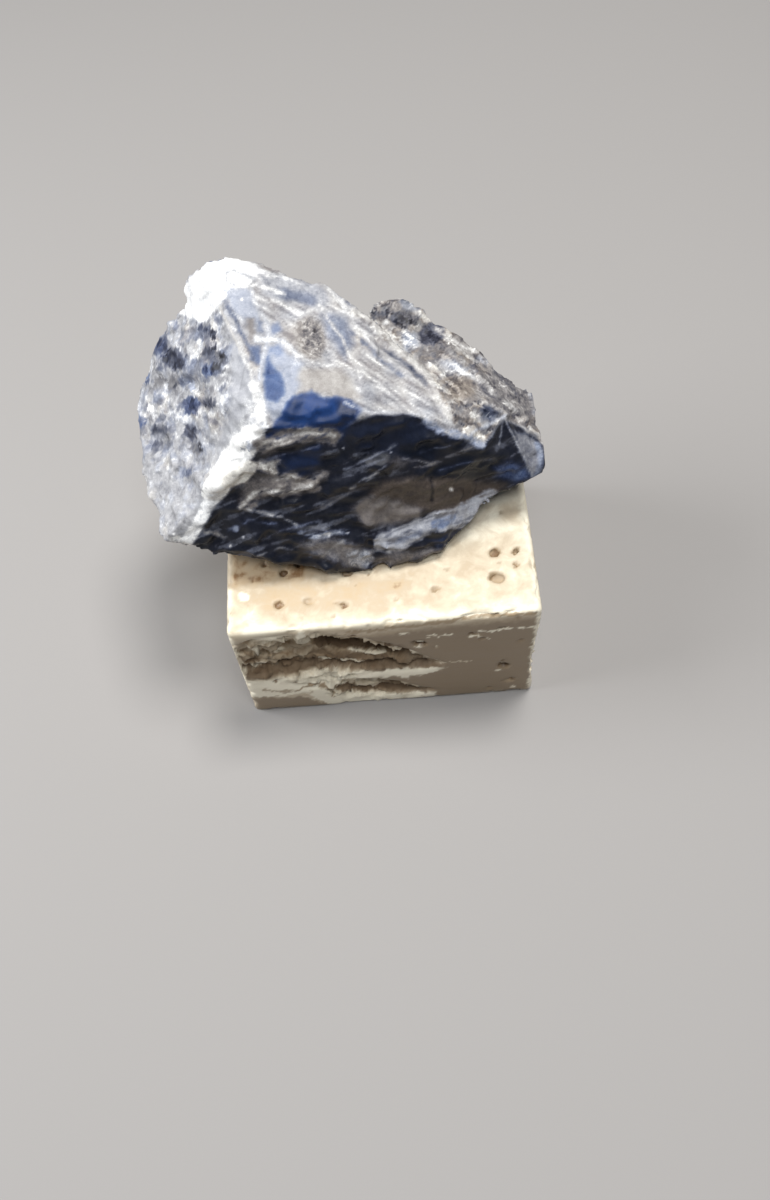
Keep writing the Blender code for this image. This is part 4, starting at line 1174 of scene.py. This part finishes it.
def sodalite_surface(settings):
    """Blue, grey and white mineral, painted by the mesh's tone, blue, warm and grain."""
    material, tree, shader = new_surface("sodalite")
    place = millimetres(tree)
    mottle = noise_texture(tree, place, size=0.75, detail=6.0, roughness=0.68, distortion=0.6)
    speck = noise_texture(tree, place, size=0.22, detail=3.0)
    crystals, crystal = cell_texture(tree, place, size=0.42)
    grain = layer_value(tree, "grain")
    mottled = plus(tree, swing(tree, mottle, 0.5, 1.5), swing(tree, crystal, 0.5, 0.26))
    lively = times(tree, mottled, grain)
    varied = plus(tree, lively, swing(tree, speck, 0.5, 0.16))
    tone = plus(tree, layer_value(tree, "tone"), varied, clamp=True)
    cool, warm, blue = (ramp(tree, tone, settings, stops) for stops in SODALITE_RAMPS)
    colour = blend_colours(tree, layer_value(tree, "warm"), cool, warm)
    colour = blend_colours(tree, layer_value(tree, "blue"), colour, blue)
    dullness = plus(tree, grey_range(tree, tone, (0.15, 0.9), (0.4, 0.6)), times(tree, lively, 0.25))
    height = plus(tree, times(tree, mottle, 0.6), times(tree, speck, 0.35))
    height = calc(tree, "SUBTRACT", height, times(tree, crystals, 0.3))
    add_bump(tree, shader, times(tree, height, plus(tree, grain, 0.05)), 0.2 * MM, 0.35)
    feed(tree, shader, {
        "Base Color": colour, "Roughness": dullness, "IOR": SODALITE_IOR, "Specular IOR Level": 0.2,
    })
    return material


def travertine_surface(settings):
    """Cream travertine: honed and mottled on top, dull and sugary where it is broken."""
    material, tree, shader = new_surface("travertine")
    place = millimetres(tree)
    layered = millimetres(tree, (4.0, 4.0, 0.8))
    cloud = noise_texture(tree, place, size=3.2, detail=6.0, roughness=0.62, distortion=0.4)
    bands = noise_texture(tree, layered, size=1.3, detail=5.0, distortion=0.3)
    sugar = noise_texture(tree, place, size=0.3, detail=4.0, roughness=0.7)
    broken, stain, pit, side = (layer_value(tree, name) for name in ("broken", "stain", "pit", "side"))
    clouded = swing(tree, cloud, 0.5, calc(tree, "SUBTRACT", 1.1, side))
    banded = times(tree, swing(tree, bands, 0.5, 0.3), side)
    # The stain layer holds iron stain together with painted shade and painted light.
    shade = plus(tree, plus(tree, clouded, stain), banded)
    colour = ramp(tree, shade, settings, TRAVERTINE_RAMP)
    dull = swing(tree, sugar, 0.45, 0.9)
    grimy = plus(tree, times(tree, broken, 0.1), dull, clamp=True)
    grimy = times(tree, grimy, plus(tree, broken, 0.15))
    colour = blend_colours(tree, grimy, colour, solid(settings.tan_colour))
    # Pores, and the painted shade of recesses, of the sawn front and under the stone, turn towards the pit
    # colour.
    colour = blend_colours(tree, pit, colour, solid(settings.pit_and_shade_colour))
    dullness = plus(tree, plus(tree, times(tree, broken, 0.35), 0.48), times(tree, dull, 0.2))
    height = plus(tree, times(tree, sugar, 0.6), times(tree, cloud, 0.4))
    add_bump(tree, shader, times(tree, height, plus(tree, broken, 0.12)), 0.25 * MM, 0.55)
    feed(tree, shader, {"Base Color": colour, "Roughness": dullness})
    return material


def floor_surface(settings):
    """Plain pale paper."""
    material, tree, shader = new_surface("floor")
    feed(tree, shader, {"Base Color": solid(settings.floor_colour), "Roughness": 0.9})
    return material


def add_light(name, place, size, power, colour):
    """A round soft light, aimed at the object."""
    data = bpy.data.lights.new(name, "AREA")
    data.shape = "DISK"
    data.size = size
    data.energy = power
    data.color = colour
    light = bpy.data.objects.new(name, data)
    place = Vector(place)
    turned = (place - LIGHT_AIM).to_track_quat("Z", "Y").to_matrix().to_4x4()
    light.matrix_world = Matrix.Translation(place) @ turned
    bpy.context.scene.collection.objects.link(light)


def add_camera():
    """The photograph's camera."""
    right, up, back = camera_axes()
    data = bpy.data.cameras.new("camera")
    data.sensor_width = SENSOR
    data.sensor_fit = "AUTO"
    data.lens = SENSOR * PHOTO_FOCAL / PHOTO_HEIGHT
    data.clip_start = MM
    camera = bpy.data.objects.new("camera", data)
    columns = Matrix((right, up, back)).transposed().to_4x4()
    camera.matrix_world = Matrix.Translation(CAMERA_PLACE) @ columns
    bpy.context.scene.collection.objects.link(camera)
    bpy.context.scene.camera = camera


def colour_property(name, description, colour):
    return bpy.props.FloatVectorProperty(
        name=name, description=description, default=(*colour, 1.0), size=4, subtype="COLOR", min=0.0, max=1.0,
    )


def number_property(name, description, default, low, high, subtype="NONE", **more):
    return bpy.props.FloatProperty(
        name=name, description=description, default=default, min=low, max=high, subtype=subtype, **more,
    )


def face_size(default):
    return number_property(
        "Face size", "Width of the fine mesh's faces", default, 0.2 * MM, 2.0 * MM, "DISTANCE",
        unit="LENGTH", precision=5,
    )


def relief_strength(name):
    return number_property(name, "Strength of the broken relief", 1.0, 0.0, 2.0, "FACTOR")


def light_power(name, description, default):
    return number_property(name, description, default, 0.0, 100.0, "POWER", unit="POWER")


class SodaliteSettings(bpy.types.PropertyGroup):
    """Sizes and colours of the sodalite."""

    cell: face_size(0.34 * MM)
    chip_height: relief_strength("Chip height")
    black_colour: colour_property("Black", "Darkest, clearest mineral", (0.004, 0.006, 0.012))
    navy_colour: colour_property("Navy", "Dark mineral in shade", (0.0145, 0.0165, 0.025))
    slate_colour: colour_property("Slate", "Half-dark mineral", (0.075, 0.084, 0.112))
    grey_colour: colour_property("Grey", "Half-pale mineral", (0.19, 0.195, 0.213))
    pale_colour: colour_property("Pale", "Pale mineral", (0.385, 0.39, 0.41))
    white_colour: colour_property("White", "White veins and grains", (0.90, 0.90, 0.89))
    brown_colour: colour_property("Brown", "Smoky mineral", (0.10, 0.078, 0.062))
    tan_colour: colour_property("Tan", "Grey-brown mineral", (0.32, 0.265, 0.212))
    cream_colour: colour_property("Cream", "Cream veins", (0.84, 0.81, 0.72))
    royal_colour: colour_property("Royal blue", "Deep blue mineral", (0.012, 0.045, 0.17))
    azure_colour: colour_property("Azure", "Lighter blue mineral", (0.09, 0.19, 0.44))
    ice_colour: colour_property("Ice blue", "Palest blue mineral", (0.43, 0.51, 0.70))


class TravertineSettings(bpy.types.PropertyGroup):
    """Sizes and colours of the travertine block."""

    cell: face_size(0.36 * MM)
    roughness: relief_strength("Break height")
    white_colour: colour_property("White", "Palest travertine", (0.84, 0.78, 0.63))
    cream_colour: colour_property("Cream", "Most of the travertine", (0.61, 0.525, 0.39))
    sand_colour: colour_property("Sand", "Slightly stained travertine", (0.50, 0.405, 0.285))
    tan_colour: colour_property("Tan", "Stained travertine", (0.50, 0.38, 0.24))
    rust_colour: colour_property("Rust", "Iron stain", (0.25, 0.135, 0.055))
    # The pit colour also darkens the painted shade of recesses, of the sawn front and under the stone.
    pit_and_shade_colour: colour_property("Pit", "Inside of the pores", (0.11, 0.07, 0.04))


class StageSettings(bpy.types.PropertyGroup):
    """Floor and light."""

    floor_colour: colour_property("Floor", "Colour of the floor", (0.30, 0.288, 0.28))
    floor_size: number_property(
        "Floor size", "Width of the floor", 3.0, 0.5, 20.0, "DISTANCE", unit="LENGTH",
    )
    key_power: light_power("Key light", "Power of the light overhead", 3.5)
    left_power: light_power("Left light", "Power of the light from the left", 2.3)
    front_power: light_power("Front light", "Power of the light overhead in front", 2.0)
    sky_strength: number_property("Room light", "Strength of the even light", 0.06, 0.0, 5.0)


class STONE_OT_make_sodalite(bpy.types.Operator):
    """Make the fine sodalite in place of its plain solid"""

    bl_idname = "stone.make_sodalite"
    bl_label = "Make the sodalite"

    def execute(self, context):
        settings = context.scene.sodalite_settings
        piece = fine_copy("sodalite", "fine_sodalite", settings.cell, 3)
        data = piece.data
        points, normals = points_and_normals(data)
        height = stone_relief(data, points, normals, settings.chip_height)
        set_points(data, points + normals * height[:, None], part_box("sodalite"))
        layers = stone_markings(data, *points_and_normals(data))
        finish_mesh(data, layers, sodalite_surface(settings))
        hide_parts("sodalite")
        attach(piece, "root")
        return {"FINISHED"}


class STONE_OT_make_travertine(bpy.types.Operator):
    """Make the fine travertine block in place of its plain solid"""

    bl_idname = "stone.make_travertine"
    bl_label = "Make the travertine block"

    def execute(self, context):
        settings = context.scene.travertine_settings
        piece = fine_copy("travertine_block", "fine_travertine", settings.cell, 2)
        data = piece.data
        points, normals = points_and_normals(data)
        height, pitted, top, sawn, broken = block_relief(points, normals, settings.roughness)
        set_points(data, points + normals * height[:, None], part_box("travertine_block"))
        stain, dark = block_stain_and_painted_light(points, normals, pitted, top, sawn)
        side = np.clip(sawn + broken, 0.0, 1.0)
        # The pit layer holds pores and painted shade; the stain layer holds iron stain with painted shade and
        # painted light.
        layers = {
            "pit": dark,
            "broken": neighbour_mean(data, broken, 1),
            "stain": stain,
            "side": neighbour_mean(data, side, 1),
        }
        finish_mesh(data, layers, travertine_surface(settings))
        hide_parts("travertine_block")
        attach(piece, "root")
        return {"FINISHED"}


class STONE_OT_set_stage(bpy.types.Operator):
    """Lay the floor and set the light and the camera"""

    bl_idname = "stone.set_stage"
    bl_label = "Set the stage"

    def execute(self, context):
        settings = context.scene.stage_settings
        mesh = bmesh.new()
        bmesh.ops.create_grid(mesh, x_segments=1, y_segments=1, size=settings.floor_size / 2.0)
        data = bpy.data.meshes.new("floor")
        mesh.to_mesh(data)
        mesh.free()
        floor = bpy.data.objects.new("floor", data)
        data.materials.append(floor_surface(settings))
        context.scene.collection.objects.link(floor)
        for name, (place, size, colour) in LIGHTS.items():
            add_light(name, place, size, getattr(settings, name + "_power"), colour)
        world = bpy.data.worlds.new("room")
        world.use_nodes = True
        backdrop = world.node_tree.nodes["Background"]
        feed(world.node_tree, backdrop, {"Color": ROOM_COLOUR, "Strength": settings.sky_strength})
        context.scene.world = world
        context.scene.view_settings.view_transform = "Standard"
        add_camera()
        return {"FINISHED"}


class STONE_PT_panel(bpy.types.Panel):
    """Lists the pieces and their settings"""

    bl_idname = "STONE_PT_panel"
    bl_label = "Sodalite on travertine"
    bl_space_type = "VIEW_3D"
    bl_region_type = "UI"
    bl_category = "Stone"

    def draw(self, context):
        for operator, group in PANEL_ROWS:
            box = self.layout.box()
            box.operator(operator.bl_idname)
            settings = getattr(context.scene, group)
            for name in settings.__annotations__:
                box.prop(settings, name)


PANEL_ROWS = (
    (STONE_OT_make_sodalite, "sodalite_settings"),
    (STONE_OT_make_travertine, "travertine_settings"),
    (STONE_OT_set_stage, "stage_settings"),
)
SETTINGS = {
    "sodalite_settings": SodaliteSettings,
    "travertine_settings": TravertineSettings,
    "stage_settings": StageSettings,
}
CLASSES = (
    *SETTINGS.values(), STONE_OT_make_sodalite, STONE_OT_make_travertine, STONE_OT_set_stage, STONE_PT_panel,
)


def register():
    for kind in CLASSES:
        bpy.utils.register_class(kind)
    for name, group in SETTINGS.items():
        setattr(bpy.types.Scene, name, bpy.props.PointerProperty(type=group))


def unregister():
    for name in SETTINGS:
        delattr(bpy.types.Scene, name)
    for kind in reversed(CLASSES):
        bpy.utils.unregister_class(kind)


def main():
    register()
    bpy.ops.stone.make_sodalite()
    bpy.ops.stone.make_travertine()
    bpy.ops.stone.set_stage()


if __name__ == "__main__":
    main()
